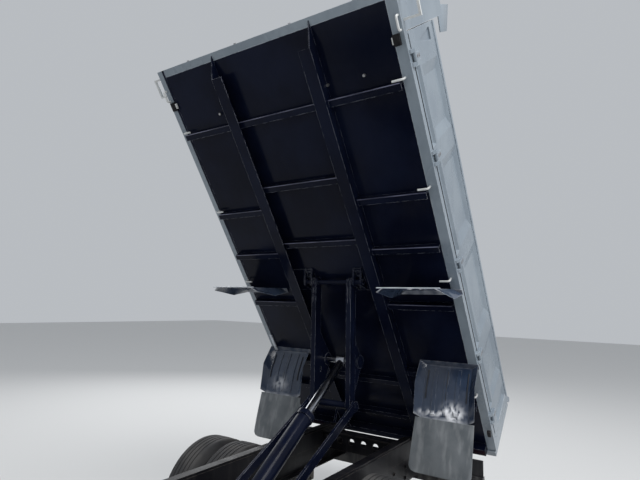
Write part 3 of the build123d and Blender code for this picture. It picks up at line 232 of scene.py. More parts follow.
class ShaderGroups:
    """Node groups that the finishes share; each span is where a mask starts and where it is full."""

    UNEVEN: Span = (0.34, 0.66)
    BLOTCHED: Span = (0.40, 0.68)
    STREAKED: Span = (0.46, 0.70)
    PATCHED: Span = (0.36, 0.56)
    UPWARD: Span = (0.2, 0.95)
    ROUNDED: Span = (0.02, 0.25)
    DUST_ON_TOP = 0.6
    DOWNWARD: Point = (3.0, 3.0, 0.35)
    PATCHES = 24.0
    SHEET_WAVES = 7.0

    def __init__(self) -> None:
        """Build every group once."""
        self.mottle = self._mottle()
        self.grime = self._grime()
        self.streaks = self._streaks()
        self.edges = self._edges()
        self.grain = self._grain()
        self.band = self._band()

    def _mottle(self) -> bpy.types.NodeTree:
        """Broad unevenness, 0 to 1."""
        group = SharedGroup("mottle", "Mask", Scale=3.0)
        return group.close(group.step(group.speckle(group.given["Scale"], 5.0), self.UNEVEN))

    def _grime(self) -> bpy.types.NodeTree:
        """Dust that settles on upward faces and low down.

        Returns:
            The group.
        """
        group = SharedGroup("grime", "Mask", Scale=6.0, Amount=0.3, Height=0.9)
        blotch = group.step(group.speckle(group.given["Scale"], 7.0), self.BLOTCHED)
        height = group.reckon("DIVIDE", group.axes("TexCoord", "Object")[2], group.given["Height"])
        low = group.step(group.reckon("SUBTRACT", 1.0, height), (0.0, 1.0))
        top = group.step(group.axes("NewGeometry", "Normal")[2], self.UPWARD)
        settled = group.reckon("MAXIMUM", low, group.reckon("MULTIPLY", top, self.DUST_ON_TOP))
        return group.close(settled, blotch, group.given["Amount"])

    def _streaks(self) -> bpy.types.NodeTree:
        """Marks that run down a surface.

        Returns:
            The group.
        """
        group = SharedGroup("streaks", "Mask", Scale=9.0, Amount=0.4)
        run = group.speckle(group.given["Scale"], 4.0, self.DOWNWARD)
        return group.close(group.step(run, self.STREAKED), group.given["Amount"])

    def _edges(self) -> bpy.types.NodeTree:
        """Mask of rounded edges, found where a rounded normal leaves the face's own; finishes colour it as
        edge wear, some as a painted highlight.

        Returns:
            The group.
        """
        group = SharedGroup("edges", "Mask", Width=0.004, Amount=0.5)
        bevel = group.add("Bevel", {"Radius": group.given["Width"]}, samples=4).outputs["Normal"]
        facing = group.add("NewGeometry").outputs["Normal"]
        alike = group.add("VectorMath", {0: bevel, 1: facing}, operation="DOT_PRODUCT").outputs["Value"]
        worn = group.step(group.reckon("SUBTRACT", 1.0, alike), self.ROUNDED)
        patchy = group.step(group.speckle(self.PATCHES, 2.0), self.PATCHED)
        return group.close(worn, patchy, group.given["Amount"])

    def _grain(self) -> bpy.types.NodeTree:
        """Fine height of a sprayed, cast or moulded surface, on broad waves of the sheet.

        Returns:
            The group.
        """
        group = SharedGroup("grain", "Height", Scale=300.0, Waves=1.5)
        fine = group.speckle(group.given["Scale"], 3.0)
        broad = group.reckon("MULTIPLY", group.speckle(self.SHEET_WAVES, 2.0), group.given["Waves"])
        return group.close(group.reckon("ADD", fine, broad))

    def _band(self) -> bpy.types.NodeTree:
        """Mask of what lies ahead of a place along the truck and outside a distance from its middle.

        Returns:
            The group.
        """
        group = SharedGroup("band", "Mask", Ahead=-100.0, Outside=-1.0)
        along, across, _ = group.axes("TexCoord", "Object")
        ahead = group.reckon("GREATER_THAN", along, group.given["Ahead"])
        wide = group.reckon("GREATER_THAN", group.reckon("ABSOLUTE", across), group.given["Outside"])
        return group.close(ahead, wide)


class Shading(Wiring):
    """One material's node tree."""

    def __init__(self, name: str) -> None:
        """Start a material.

        Args:
            name: Name of the material.
        """
        self.material = bpy.data.materials.new(name)
        self.material.use_nodes = True
        super().__init__(self.material.node_tree)

    def use(self, group: bpy.types.NodeTree, **values: float) -> Socket:
        """Output of a shared group that gets these inputs."""
        return self.add("Group", values, node_tree=group).outputs[0]

    def mix(self, mask: Socket, first: Value, second: Value) -> Socket:
        """Mix two colours.

        Args:
            mask: Share of the second colour.
            first: Colour where the mask is 0.
            second: Colour where the mask is 1.

        Returns:
            The mixed colour.
        """
        colours = {"Factor": mask, "A": first, "B": second}
        return self.add("Mix", colours, data_type="RGBA").outputs["Result"]

    def painted(self, attribute: str) -> Socket:
        """Value that was painted on the piece's points under this name."""
        return self.add("Attribute", attribute_name=attribute).outputs["Fac"]

    def close(self, inputs: dict[str, Value]) -> bpy.types.Material:
        """Wire the shader.

        Args:
            inputs: What each of its inputs gets.

        Returns:
            The material.
        """
        shader = self.tree.nodes["Principled BSDF"]
        for label, value in inputs.items():
            self.feed(shader.inputs[label], value)
        return self.material


# Finishes


@dataclass(frozen=True)
class Zone:
    """Part of a surface with a colour of its own: ahead of a place and outside a distance."""

    colour: Colour
    ahead: float = -100.0
    outside: float = -1.0


@dataclass(frozen=True)
class Finish:
    """A surface finish with its unevenness, dirt, and an edge colour for wear, which on some finishes is a
    painted highlight.
    """

    name: str
    slot: str
    base: Colour
    second: Colour
    sheen: Sheen
    metallic: float = 0.0
    coat: float = 0.0
    coat_roughness: float = 0.12
    specular: float = 0.5
    dust: Colour = (0.34, 0.32, 0.29)
    dust_amount: float = 0.35
    dust_height: float = 0.9
    dust_dulls: float = 0.5
    worn: Colour = (0.30, 0.28, 0.27)
    edge_wear_and_highlight_amount: float = 0.4
    edge_wear_and_highlight_width: float = 0.004
    streak: Colour = (0.30, 0.29, 0.28)
    streak_amount: float = 0.15
    grain_scale: float = 260.0
    grain_depth: float = 0.02
    grain_height: float = 0.02
    grain_strength: float = 0.6
    waves: float = 1.5
    mottle_scale: float = 2.5
    zones: tuple[Zone, ...] = ()
    # White of the marked spots: bare steel, and painted glint on guard crumples and lips.
    bare_and_glint: Colour | None = None

    def build(self, groups: ShaderGroups) -> bpy.types.Material:
        """Make the finish's material.

        Args:
            groups: The shared shader groups.

        Returns:
            The material.
        """
        made = Shading(self.name)
        uneven = made.use(groups.mottle, Scale=self.mottle_scale)
        dirt = made.use(groups.grime, Amount=self.dust_amount, Height=self.dust_height)
        layers = [(made.use(groups.band, Ahead=zone.ahead, Outside=zone.outside), zone.colour)
                  for zone in self.zones]
        layers.append((made.use(groups.streaks, Amount=self.streak_amount), self.streak))
        layers.append((made.use(groups.edges, Amount=self.edge_wear_and_highlight_amount, Width=self.edge_wear_and_highlight_width), self.worn))
        if self.bare_and_glint:
            layers.append((made.painted("bare_and_glint"), self.bare_and_glint))
        layers.append((dirt, self.dust))
        colour = made.mix(uneven, self.base, self.second)
        for mask, over in layers:
            colour = made.mix(mask, colour, over)
        low, high = self.sheen.value
        rough = made.add("MapRange", {"Value": uneven, "To Min": low, "To Max": high}).outputs["Result"]
        bump = made.add("Bump", {
            "Strength": self.grain_strength, "Distance": self.grain_depth * self.grain_height,
            "Height": made.use(groups.grain, Scale=self.grain_scale, Waves=self.waves)})
        dull = made.reckon("MULTIPLY_ADD", dirt, self.dust_dulls, rough, clamp=True)
        return made.close({
            "Base Color": colour, "Roughness": dull, "Normal": bump.outputs["Normal"],
            "Metallic": self.metallic, "Specular IOR Level": self.specular,
            "Coat Weight": self.coat, "Coat Roughness": self.coat_roughness})


@dataclass(frozen=True)
class GlassFinish:
    """Clear or tinted glass."""

    name: str
    slot: str
    tint: Colour
    alpha: float = 0.26
    roughness: float = 0.04
    smears: float = 0.02

    def build(self, groups: ShaderGroups) -> bpy.types.Material:
        """Make the glass material.

        Args:
            groups: The shared shader groups.

        Returns:
            The material.
        """
        made = Shading(self.name)
        alpha = made.reckon("ADD", made.use(groups.streaks, Amount=self.smears), self.alpha)
        return made.close({"Base Color": self.tint, "Roughness": self.roughness, "Alpha": alpha})


RED, AMBER, CLEAR = (0.45, 0.012, 0.010), (0.70, 0.20, 0.015), (0.72, 0.74, 0.75)

FINISHES: tuple[Finish | GlassFinish, ...] = (
    Finish("cab_paint", "paint_white", (0.72, 0.74, 0.75), (0.66, 0.68, 0.70), Sheen.GLOSS, coat=0.5,
           dust_amount=0.45, edge_wear_and_highlight_amount=0.12, streak_amount=0.10, grain_depth=0.004),
    # The board's pale, wide edge colour is partly edge wear and partly a painted highlight on the pressed
    # bevels.
    Finish("board_paint", "paint_blue_grey", (0.265, 0.312, 0.355), (0.215, 0.257, 0.300), Sheen.GLOSS,
           coat=0.15, dust_amount=0.20, worn=(0.52, 0.58, 0.64), edge_wear_and_highlight_amount=0.85, edge_wear_and_highlight_width=0.006,
           streak_amount=0.22, streak=(0.17, 0.20, 0.235), grain_depth=0.01),
    # The underside's pale edge colour is a painted highlight along the edges of sills, cross-members and
    # arms, partly edge wear.
    Finish("underside_paint", "paint_navy", (0.0030, 0.0045, 0.013), (0.0055, 0.0085, 0.023), Sheen.WET,
           specular=0.10, dust_amount=0.03, worn=(0.45, 0.47, 0.54), edge_wear_and_highlight_amount=0.80, edge_wear_and_highlight_width=0.003,
           streak_amount=0.02, grain_depth=0.02, waves=5.0, streak=(0.05, 0.05, 0.06)),
    Finish("chassis_paint", "paint_black", (0.004, 0.004, 0.006), (0.008, 0.008, 0.011), Sheen.SATIN,
           specular=0.18, dust=(0.050, 0.048, 0.046), worn=(0.16, 0.14, 0.12), edge_wear_and_highlight_amount=0.5,
           streak_amount=0.10, streak=(0.09, 0.085, 0.08), grain_depth=0.03),
    # Guard paint: its near-white spots are bare steel and a painted glint on the crumples and lips.
    Finish("guard_paint", "guard_steel", (0.018, 0.031, 0.062), (0.038, 0.057, 0.098), Sheen.WET, coat=0.4,
           specular=0.35, dust_amount=0.12, worn=(0.42, 0.46, 0.52), edge_wear_and_highlight_amount=0.6, edge_wear_and_highlight_width=0.003,
           streak_amount=0.10, streak=(0.12, 0.15, 0.20), grain_depth=0.03, waves=4.0, mottle_scale=4.0,
           bare_and_glint=(0.90, 0.91, 0.94)),
    # Near-black for the painted shade in the guard creases and the board gaps.
    Finish("groove_shade", "guard_steel", (0.004, 0.005, 0.009), (0.008, 0.010, 0.016), Sheen.SATIN,
           dust_amount=0.05, edge_wear_and_highlight_amount=0.0, streak_amount=0.05),
    # Pale navy for the painted highlights along the cross-members' edges.
    Finish("highlight_navy", "paint_navy", (0.150, 0.155, 0.230), (0.030, 0.033, 0.065), Sheen.GLOSS,
           dust_amount=0.05, edge_wear_and_highlight_amount=0.0, streak_amount=0.05, mottle_scale=5.0),
    # Near-white for the painted highlights on the board seams and the front guards' lips (partly worn paint
    # there), and the guard strap's colour.
    Finish("bright_white", "guard_steel", (0.72, 0.75, 0.80), (0.50, 0.54, 0.60), Sheen.GLOSS, coat=0.3,
           dust_amount=0.20, edge_wear_and_highlight_amount=0.0, mottle_scale=14.0),
    Finish("floor_steel", "paint_blue_grey", (0.130, 0.135, 0.140), (0.215, 0.200, 0.180), Sheen.SATIN,
           metallic=0.35, dust_amount=0.5, dust_height=6.0, edge_wear_and_highlight_amount=0.0, streak=(0.16, 0.095, 0.055),
           streak_amount=0.45, grain_scale=60.0, grain_depth=0.10, mottle_scale=4.0),
    Finish("cast_iron", "cast", (0.030, 0.029, 0.028), (0.052, 0.048, 0.044), Sheen.DULL, metallic=0.3,
           dust_amount=0.6, worn=(0.20, 0.13, 0.08), edge_wear_and_highlight_amount=0.5, grain_scale=160.0, grain_depth=0.12),
    Finish("bare_steel", "steel", (0.45, 0.45, 0.46), (0.33, 0.33, 0.34), Sheen.SATIN, metallic=0.9,
           worn=(0.25, 0.15, 0.09), edge_wear_and_highlight_amount=0.3),
    Finish("rod_chrome", "steel", (0.50, 0.51, 0.54), (0.40, 0.41, 0.45), Sheen.CHROME, metallic=1.0,
           dust_amount=0.08, edge_wear_and_highlight_amount=0.0, streak_amount=0.05, grain_depth=0.002),
    Finish("wheel_paint", "wheel_paint", (0.50, 0.52, 0.54), (0.40, 0.41, 0.43), Sheen.SATIN, metallic=0.2,
           dust_amount=0.75, worn=(0.28, 0.17, 0.10), edge_wear_and_highlight_amount=0.5),
    Finish("tyre_rubber", "tyre", (0.018, 0.018, 0.020), (0.032, 0.032, 0.034), Sheen.RUBBER,
           dust_amount=0.55, dust=(0.17, 0.16, 0.15), worn=(0.09, 0.09, 0.09), edge_wear_and_highlight_amount=0.5,
           streak_amount=0.0, grain_scale=420.0, grain_depth=0.06),
    Finish("flap_rubber", "rubber", (0.100, 0.113, 0.124), (0.155, 0.170, 0.182), Sheen.SATIN,
           dust_amount=0.22, dust=(0.36, 0.36, 0.34), worn=(0.40, 0.41, 0.42), edge_wear_and_highlight_amount=0.6,
           streak=(0.30, 0.31, 0.32), streak_amount=0.45, grain_scale=220.0, grain_depth=0.05,
           mottle_scale=7.0),
    Finish("trim_black", "plastic_black", (0.025, 0.025, 0.027), (0.035, 0.035, 0.037), Sheen.DULL,
           worn=(0.12, 0.12, 0.12), edge_wear_and_highlight_amount=0.25, grain_scale=700.0, grain_depth=0.05),
    Finish("trim_grey", "plastic_grey", (0.13, 0.13, 0.135), (0.17, 0.17, 0.175), Sheen.DULL,
           worn=(0.28, 0.28, 0.28), edge_wear_and_highlight_amount=0.2, grain_scale=600.0, grain_depth=0.05),
    Finish("bumper_paint", "plastic_grey", (0.012, 0.012, 0.014), (0.022, 0.022, 0.025), Sheen.SATIN,
           dust_amount=0.45, worn=(0.25, 0.25, 0.25), edge_wear_and_highlight_amount=0.3,
           zones=(Zone((0.15, 0.15, 0.155), 0.0),)),
    Finish("seat_cloth", "seat_cloth", (0.060, 0.065, 0.075), (0.100, 0.105, 0.115), Sheen.RUBBER,
           dust_amount=0.1, edge_wear_and_highlight_amount=0.0, streak_amount=0.0, grain_scale=900.0, grain_depth=0.15,
           mottle_scale=40.0),
    Finish("lamp_lenses", "lamp_clear", CLEAR, (0.62, 0.64, 0.66), Sheen.GLOSS, coat=0.9, dust_amount=0.2,
           edge_wear_and_highlight_amount=0.0, streak_amount=0.03, grain_scale=90.0, grain_depth=0.02,
           zones=(Zone(RED, -100.0, 0.593), Zone(AMBER, -100.0, 0.677), Zone((0.55, 0.57, 0.60), 0.0),
                  Zone(AMBER, 0.0, 0.695))),
    Finish("plate_white", "paint_white", (0.72, 0.73, 0.72), (0.66, 0.67, 0.66), Sheen.SATIN,
           dust_amount=0.4, edge_wear_and_highlight_amount=0.1, grain_depth=0.003),
    GlassFinish("window_glass", "glass", (0.62, 0.70, 0.72)),
    Finish("mirror_glass", "glass", (0.85, 0.87, 0.88), (0.82, 0.84, 0.85), Sheen.CHROME, metallic=1.0,
           dust_amount=0.05, edge_wear_and_highlight_amount=0.0, streak_amount=0.03, grain_depth=0.0),
)

NODE_FINISH: dict[str, str] = {node: finish for finish, nodes in (
    ("chassis_paint", "frame_rails cross_members subframe fuel_tank"),
    ("cast_iron", "axles leaf_springs drivetrain knuckle"),
    ("trim_black", "battery_box grille mirrors"),
    ("trim_grey", "dashboard"),
    ("bare_steel", "exhaust"),
    ("rod_chrome", "ram_rod"),
    ("bumper_paint", "bumpers"),
    ("lamp_lenses", "lamps"),
    ("cab_paint", "cab_shell door"),
    ("window_glass", "cab_glass door_glass"),
    ("seat_cloth", "seats"),
    ("underside_paint", "bed_floor bed_sills bed_crossmembers lift_arm tension_links ram_barrel"),
    ("board_paint", "bed_body tailgate side_board"),
    ("plate_white", "rail_fittings"),
    ("guard_paint", "wheel_guards"),
    ("flap_rubber", "mud_flaps"),
    ("tyre_rubber", "front_tyre rear_tyres"),
    ("wheel_paint", "front_wheel rear_wheels"),
) for node in nodes.split()}


class Palette:
    """Every finish's material, by name."""

    def __init__(self) -> None:
        """Build all materials."""
        groups = ShaderGroups()
        self.materials = {finish.name: finish.build(groups) for finish in FINISHES}
        self.slots = {finish.name: finish.slot for finish in FINISHES}

    def fit(self, piece: Piece, finish: str, body: str, stands_for: Sequence[str] = ()) -> Piece:
        """Dress a piece and hand it to its body.

        Args:
            piece: The object.
            finish: Name of the finish.
            body: Body that it moves with.
            stands_for: CAD nodes that it stands for.

        Returns:
            The object.
        """
        piece.data.materials.clear()
        piece.data.materials.append(self.materials[finish])
        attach(piece, body)
        if stands_for:
            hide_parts(*stands_for)
        log.info("%s on %s: %d faces", piece.name, body, len(piece.data.polygons))
        return piece

    def dress_nodes(self) -> None:
        """Give every CAD node its finish."""
        for name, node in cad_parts.items():
            finish = self.materials[NODE_FINISH[name.removesuffix("_left").removesuffix("_right")]]
            if not node.material_slots:
                node.data.materials.append(finish)
            for slot in node.material_slots:
                slot.material = finish


# Modelling


class Workbench:
    """Modelling steps that the pieces share."""

    MERGE = 0.00005
    BEND_STEPS = 4
    LONGEST_BEND = 0.45
    SEAM = 0.008
    CUSHION_CUTS = 26

    def choose(self, piece: Piece, mode: str = "OBJECT") -> None:
        """Make a piece the only one selected and active.

        Args:
            piece: The object.
            mode: Mode to enter on it.
        """
        self.clear()
        piece.select_set(True)
        bpy.context.view_layer.objects.active = piece
        bpy.ops.object.mode_set(mode=mode)

    def clear(self) -> None:
        """Deselect everything in object mode."""
        if bpy.context.object and bpy.context.object.mode != "OBJECT":
            bpy.ops.object.mode_set(mode="OBJECT")
        bpy.ops.object.select_all(action="DESELECT")

    def start(self, name: str, add: Callable[..., set], **options: object) -> Piece:
        """Add a primitive as a new piece, with its place in its mesh.

        Args:
            name: Name of the piece.
            add: The primitive's operator.
            **options: The operator's settings.

        Returns:
            The new object, selected and active.
        """
        self.clear()
        add(**options)
        piece = bpy.context.object
        piece.name = name
        return self.settle(piece)

    def link(self, name: str, data: bpy.types.ID) -> Piece:
        """Add an object.

        Args:
            name: Name of the object.
            data: Its mesh, curve, light or camera.

        Returns:
            The new object.
        """
        piece = bpy.data.objects.new(name, data)
        bpy.context.scene.collection.objects.link(piece)
        return piece

    def settle(self, piece: Piece, matrix: Matrix | None = None) -> Piece:
        """Put the piece's place into its mesh.

        Args:
            piece: The object.
            matrix: Extra placement in the part's frame.

        Returns:
            The object, at the origin.
        """
        self.choose(piece)
        if matrix is not None:
            piece.matrix_world = matrix @ piece.matrix_world
            bpy.context.view_layer.update()
        bpy.ops.object.transform_apply(location=True, rotation=True, scale=True)
        return piece

    def shape(self, piece: Piece, rule: Callable[[Vector], Vector]) -> None:
        """Move each point of a piece to the place that a rule gives."""
        for vertex in piece.data.vertices:
            vertex.co = rule(vertex.co)

    def tidy(self, piece: Piece, angle: float = 35.0) -> Piece:
        """Merge doubles, turn the faces outwards and smooth the shading.

        Args:
            piece: The object.
            angle: Sharpest smooth edge, in degrees.

        Returns:
            The object.
        """
        self.choose(piece, "EDIT")
        bpy.ops.mesh.select_all(action="SELECT")
        bpy.ops.mesh.remove_doubles(threshold=self.MERGE)
        bpy.ops.mesh.normals_make_consistent(inside=False)
        bpy.ops.object.mode_set(mode="OBJECT")
        bpy.ops.object.shade_smooth_by_angle(angle=math.radians(angle))
        return piece

    def modify(self, piece: Piece, kind: str, **settings: object) -> Piece:
        """Add a modifier and apply it.

        Args:
            piece: The object.
            kind: Type of the modifier.
            **settings: Its values.

        Returns:
            The object.
        """
        self.choose(piece)
        modifier = piece.modifiers.new(kind.lower(), kind)
        for label, value in settings.items():
            setattr(modifier, label, value)
        bpy.ops.object.modifier_apply(modifier=modifier.name)
        return piece

    def thicken(self, piece: Piece, thickness: float, bevel: float, segments: int,
                **settings: object) -> None:
        """Give a sheet its thickness, half to each side, and bevel its edges.

        Args:
            piece: The sheet.
            thickness: Its thickness.
            bevel: Width of the bevels.
            segments: Steps of each bevel.
            **settings: More settings of the bevels.
        """
        self.modify(piece, "SOLIDIFY", thickness=thickness, offset=0.0)
        self.modify(piece, "BEVEL", width=bevel, segments=segments, **settings)

    def join(self, name: str, pieces: Sequence[Piece]) -> Piece:
        """Join pieces into one.

        Args:
            name: Name of the joined piece.
            pieces: The objects.

        Returns:
            The joined object.
        """
        self.choose(pieces[0])
        for piece in pieces:
            piece.select_set(True)
        if len(pieces) > 1:
            bpy.ops.object.join()
        pieces[0].name = name
        return pieces[0]

    def copies(self, piece: Piece, name: str, matrices: Iterable[Matrix]) -> Piece:
        """Copy a piece to each place and join the copies.

        Args:
            piece: The model, which is used up.
            name: Name of the joined piece.
            matrices: Placement of each copy.

        Returns:
            The joined object.
        """
        made = []
        for matrix in matrices:
            copy = self.link(name, piece.data.copy())
            copy.data.transform(matrix)
            if matrix.determinant() < 0:
                copy.data.flip_normals()
            made.append(copy)
        bpy.data.objects.remove(piece)
        return self.join(name, made)

    def lathe(self, name: str, profile: Sequence[Span], steps: int) -> Piece:
        """Closed ring turned about Y from (radius, offset) points.

        Args:
            name: Name of the piece.
            profile: Points of the section, in order.
            steps: Steps round the axis.

        Returns:
            The ring, about the origin.
        """
        mesh = bpy.data.meshes.new(name)
        count = len(profile)
        edges = [(i, (i + 1) % count) for i in range(count)]
        mesh.from_pydata([(0.0, offset, radius) for radius, offset in profile], edges, [])
        piece = self.link(name, mesh)
        self.choose(piece, "EDIT")
        bpy.ops.mesh.select_all(action="SELECT")
        bpy.ops.mesh.spin(steps=steps, angle=math.tau, center=(0.0, 0.0, 0.0), axis=(0.0, 1.0, 0.0))
        return self.tidy(piece)

    def slab(self, name: str, low: Point, high: Point, bevel: float) -> Piece:
        """Block with bevelled edges between two corners.

        Args:
            name: Name of the piece.
            low: Lowest corner.
            high: Highest corner.
            bevel: Width of the bevels, less on a thin block.

        Returns:
            The block.
        """
        size = [b - a for a, b in zip(low, high)]
        piece = self.start(name, bpy.ops.mesh.primitive_cube_add, size=1.0, scale=size,
                           location=[(a + b) / 2 for a, b in zip(low, high)])
        self.modify(piece, "BEVEL", width=min(bevel, 0.45 * min(size)), segments=2)
        return self.tidy(piece)

    def cushion(self, name: str, low: Point, high: Point, radius: float, seams: int) -> Piece:
        """Rounded cushion whose top is crossed by seams.

        Args:
            name: Name of the piece.
            low: Lowest corner.
            high: Highest corner.
            radius: Radius of the corners.
            seams: Seams across the top.

        Returns:
            The cushion.
        """
        middle = Vector([(a + b) / 2 for a, b in zip(low, high)])
        half = Vector([(b - a) / 2 for a, b in zip(low, high)])
        piece = self.start(name, bpy.ops.mesh.primitive_cube_add, size=2.0, scale=half)
        self.choose(piece, "EDIT")
        bpy.ops.mesh.select_all(action="SELECT")
        bpy.ops.mesh.subdivide(number_cuts=self.CUSHION_CUTS)
        bpy.ops.object.mode_set(mode="OBJECT")

        def plump(point: Vector) -> Vector:
            """Round a point off, and sink it near a seam.

            Args:
                point: Point of the block.

            Returns:
                Its place on the cushion.
            """
            core = Vector([max(-h + radius, min(h - radius, c)) for c, h in zip(point, half)])
            away = point - core
            soft = core + away.normalized() * radius if away.length > 0 else point.copy()
            if point.z > 0:
                row = (point.x + half.x) / (2 * half.x) * (seams + 1)
                near = abs(row - round(row)) * 2 * half.x / (seams + 1)
                soft.z -= self.SEAM * math.exp(-(near / self.SEAM) ** 2) * (0 < round(row) < seams + 1)
            return soft + middle

        self.shape(piece, plump)
        return self.tidy(piece, 60.0)

    def rounded(self, line: Sequence[Vector], radius: float, closed: bool) -> list[Vector]:
        """Round the corners of a line.

        Args:
            line: The line's corners.
            radius: How far from a corner the bend starts.
            closed: Whether the line is a loop.

        Returns:
            Points of the rounded line.
        """
        made: list[Vector] = []
        for i, corner in enumerate(line):
            if not closed and i in (0, len(line) - 1):
                made.append(corner)
                continue
            before, after = line[i - 1] - corner, line[(i + 1) % len(line)] - corner
            start = corner + before.normalized() * min(radius, before.length * self.LONGEST_BEND)
            end = corner + after.normalized() * min(radius, after.length * self.LONGEST_BEND)
            for step in range(self.BEND_STEPS + 1):
                t = step / self.BEND_STEPS
                made.append(start * (1 - t) ** 2 + corner * 2 * t * (1 - t) + end * t * t)
        return made

    def wire(self, name: str, points: Sequence[Point], radius: float, closed: bool, bend: float) -> Piece:
        """Round bar or bead along a line.

        Args:
            name: Name of the piece.
            points: Corners of the line.
            radius: Radius of the bar.
            closed: Whether the line is a loop.
            bend: Size of the bends.

        Returns:
            The bar.
        """
        line = [Vector(point) for point in points]
        if bend:
            line = self.rounded(line, bend, closed)
        curve = bpy.data.curves.new(name, "CURVE")
        curve.dimensions = "3D"
        curve.bevel_depth = radius
        curve.bevel_resolution = 2
        curve.use_fill_caps = not closed
        spline = curve.splines.new("POLY")
        spline.points.add(len(line) - 1)
        for spot, where in zip(spline.points, line):
            spot.co = (*where, 1.0)
        spline.use_cyclic_u = closed
        self.choose(self.link(name, curve))
        bpy.ops.object.convert(target="MESH")
        return self.tidy(bpy.context.object, 50.0)

    def plate(self, name: str, corners: Sequence[Point], thickness: float) -> Piece:
        """Flat plate with bevelled edges.

        Args:
            name: Name of the piece.
            corners: Its four corners, in order.
            thickness: Its thickness, half to each side.

        Returns:
            The plate.
        """
        piece = self.start(name, bpy.ops.mesh.primitive_plane_add, size=1.0)
        for index, corner in zip(piece.data.polygons[0].vertices, corners):
            piece.data.vertices[index].co = corner
        self.thicken(piece, thickness, thickness * 0.2, 2)
        return self.tidy(piece)

    def bolt(self, radius: float) -> Piece:
        """Hex bolt head on a washer, its axis along Z.

        Args:
            radius: Radius of the head, to which all its sizes are in proportion.

        Returns:
            The bolt, seated at the origin.
        """
        piece = self.start("bolt", bpy.ops.mesh.primitive_cylinder_add, vertices=18, radius=radius * 1.45,
                           depth=radius * 0.3, location=(0.0, 0.0, radius * 0.1))
        self.choose(piece, "EDIT")
        bpy.ops.mesh.primitive_cylinder_add(vertices=6, radius=radius, depth=radius * 0.8,
                                            location=(0.0, 0.0, radius * 0.6))
        self.modify(piece, "BEVEL", width=radius * 0.08, segments=1, limit_method="ANGLE")
        return self.tidy(piece, 30.0)


@dataclass(frozen=True)
class Detail(Workbench):
    """What every fitted detail says about itself; {side} in the body makes one piece a side."""

    name: str
    finish: str
    body: str
    mirrored: bool = False

    def shapes(self) -> list[Piece]:
        """Model the detail on its left side or middle, in its own coordinates."""
        return []

    def places(self) -> dict[str, Matrix]:
        """Find where the detail goes.

        Returns:
            Placement on each side that has it, where left stands for the middle too.
        """
        base = BED if self.body in BED_BODIES else CHASSIS
        if self.mirrored or "{side}" in self.body:
            return {"left": base, "right": base @ MIRROR}
        return {"left": base}

    def make(self, palette: Palette) -> None:
        """Model the detail, place it and hand it over.

        Args:
            palette: The materials.
        """
        model = self.join(self.name, self.shapes())
        if "{side}" not in self.body:
            palette.fit(self.copies(model, self.name, self.places().values()), self.finish, self.body)
            return
        for side, turn in self.places().items():
            piece = self.copies(self.link(self.name, model.data.copy()), f"{self.name}_{side}", [turn])
            palette.fit(piece, self.finish, self.body.format(side=side))
        bpy.data.objects.remove(model)


@dataclass(frozen=True)
class Blocks(Detail):
    """Bevelled blocks."""

    boxes: tuple[tuple[Point, Point], ...] = ()
    bevel: float = 0.003

    def shapes(self) -> list[Piece]:
        """Model each block."""
        return [self.slab(self.name, low, high, self.bevel) for low, high in self.boxes]


@dataclass(frozen=True)
class Plates(Detail):
    """Flat plates with four corners each."""

    corners: tuple[tuple[Point, ...], ...] = ()
    thickness: float = 0.003

    def shapes(self) -> list[Piece]:
        """Model each plate."""
        return [self.plate(self.name, spots, self.thickness) for spots in self.corners]


@dataclass(frozen=True)
class Bars(Detail):
    """Round bars, beads and gaskets."""

    lines: tuple[tuple[Point, ...], ...] = ()
    radius: float = 0.005
    closed: bool = False
    bend: float = 0.0

    def shapes(self) -> list[Piece]:
        """Model each bar."""
        return [self.wire(self.name, line, self.radius, self.closed, self.bend) for line in self.lines]


@dataclass(frozen=True)
class Bolts(Detail):
    """Bolt heads seated on a CAD node where a line against their facing meets it."""

    node: str = ""
    radius: float = 0.009
    facing: Facing = Facing.LEFT
    flat: float = 1.0
    spots: tuple[Point, ...] = ()

    def seat(self, node: Piece, spot: Vector, way: Vector) -> Matrix | None:
        """Find a bolt's seat on a CAD node.

        Args:
            node: The node's object.
            spot: Place outside the node, in the part's frame.
            way: Direction towards the node.

        Returns:
            Placement of the bolt, or None where the line misses.
        """
        into = node.matrix_world.inverted()
        hit, where, _, _ = node.ray_cast(into @ spot, into.to_3x3() @ way)
        turn = way.normalized().to_track_quat("-Z", "Y").to_matrix().to_4x4()
        squat = Matrix.Diagonal((1.0, 1.0, self.flat, 1.0))
        return Matrix.Translation(node.matrix_world @ where) @ turn @ squat if hit else None

    def make(self, palette: Palette) -> None:
        """Model one bolt and copy it to every spot found.

        Args:
            palette: The materials.
        """
        for side, base in self.places().items():
            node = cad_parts[self.node.format(side=side)]
            way = base.to_3x3() @ -Vector(self.facing.value)
            found = [self.seat(node, base @ Vector(spot), way) for spot in self.spots]
            seats = [seat for seat in found if seat is not None]
            if len(seats) < len(found):
                log.warning("%s: %d bolts without a seat", self.name, len(found) - len(seats))
            piece = self.copies(self.bolt(self.radius), f"{self.name}_{side}", seats)
            palette.fit(piece, self.finish, self.body.format(side=side))


@dataclass
class Assembly(Workbench):
    """Pieces that are modelled together and dressed from one palette."""

    palette: Palette


# Running gear


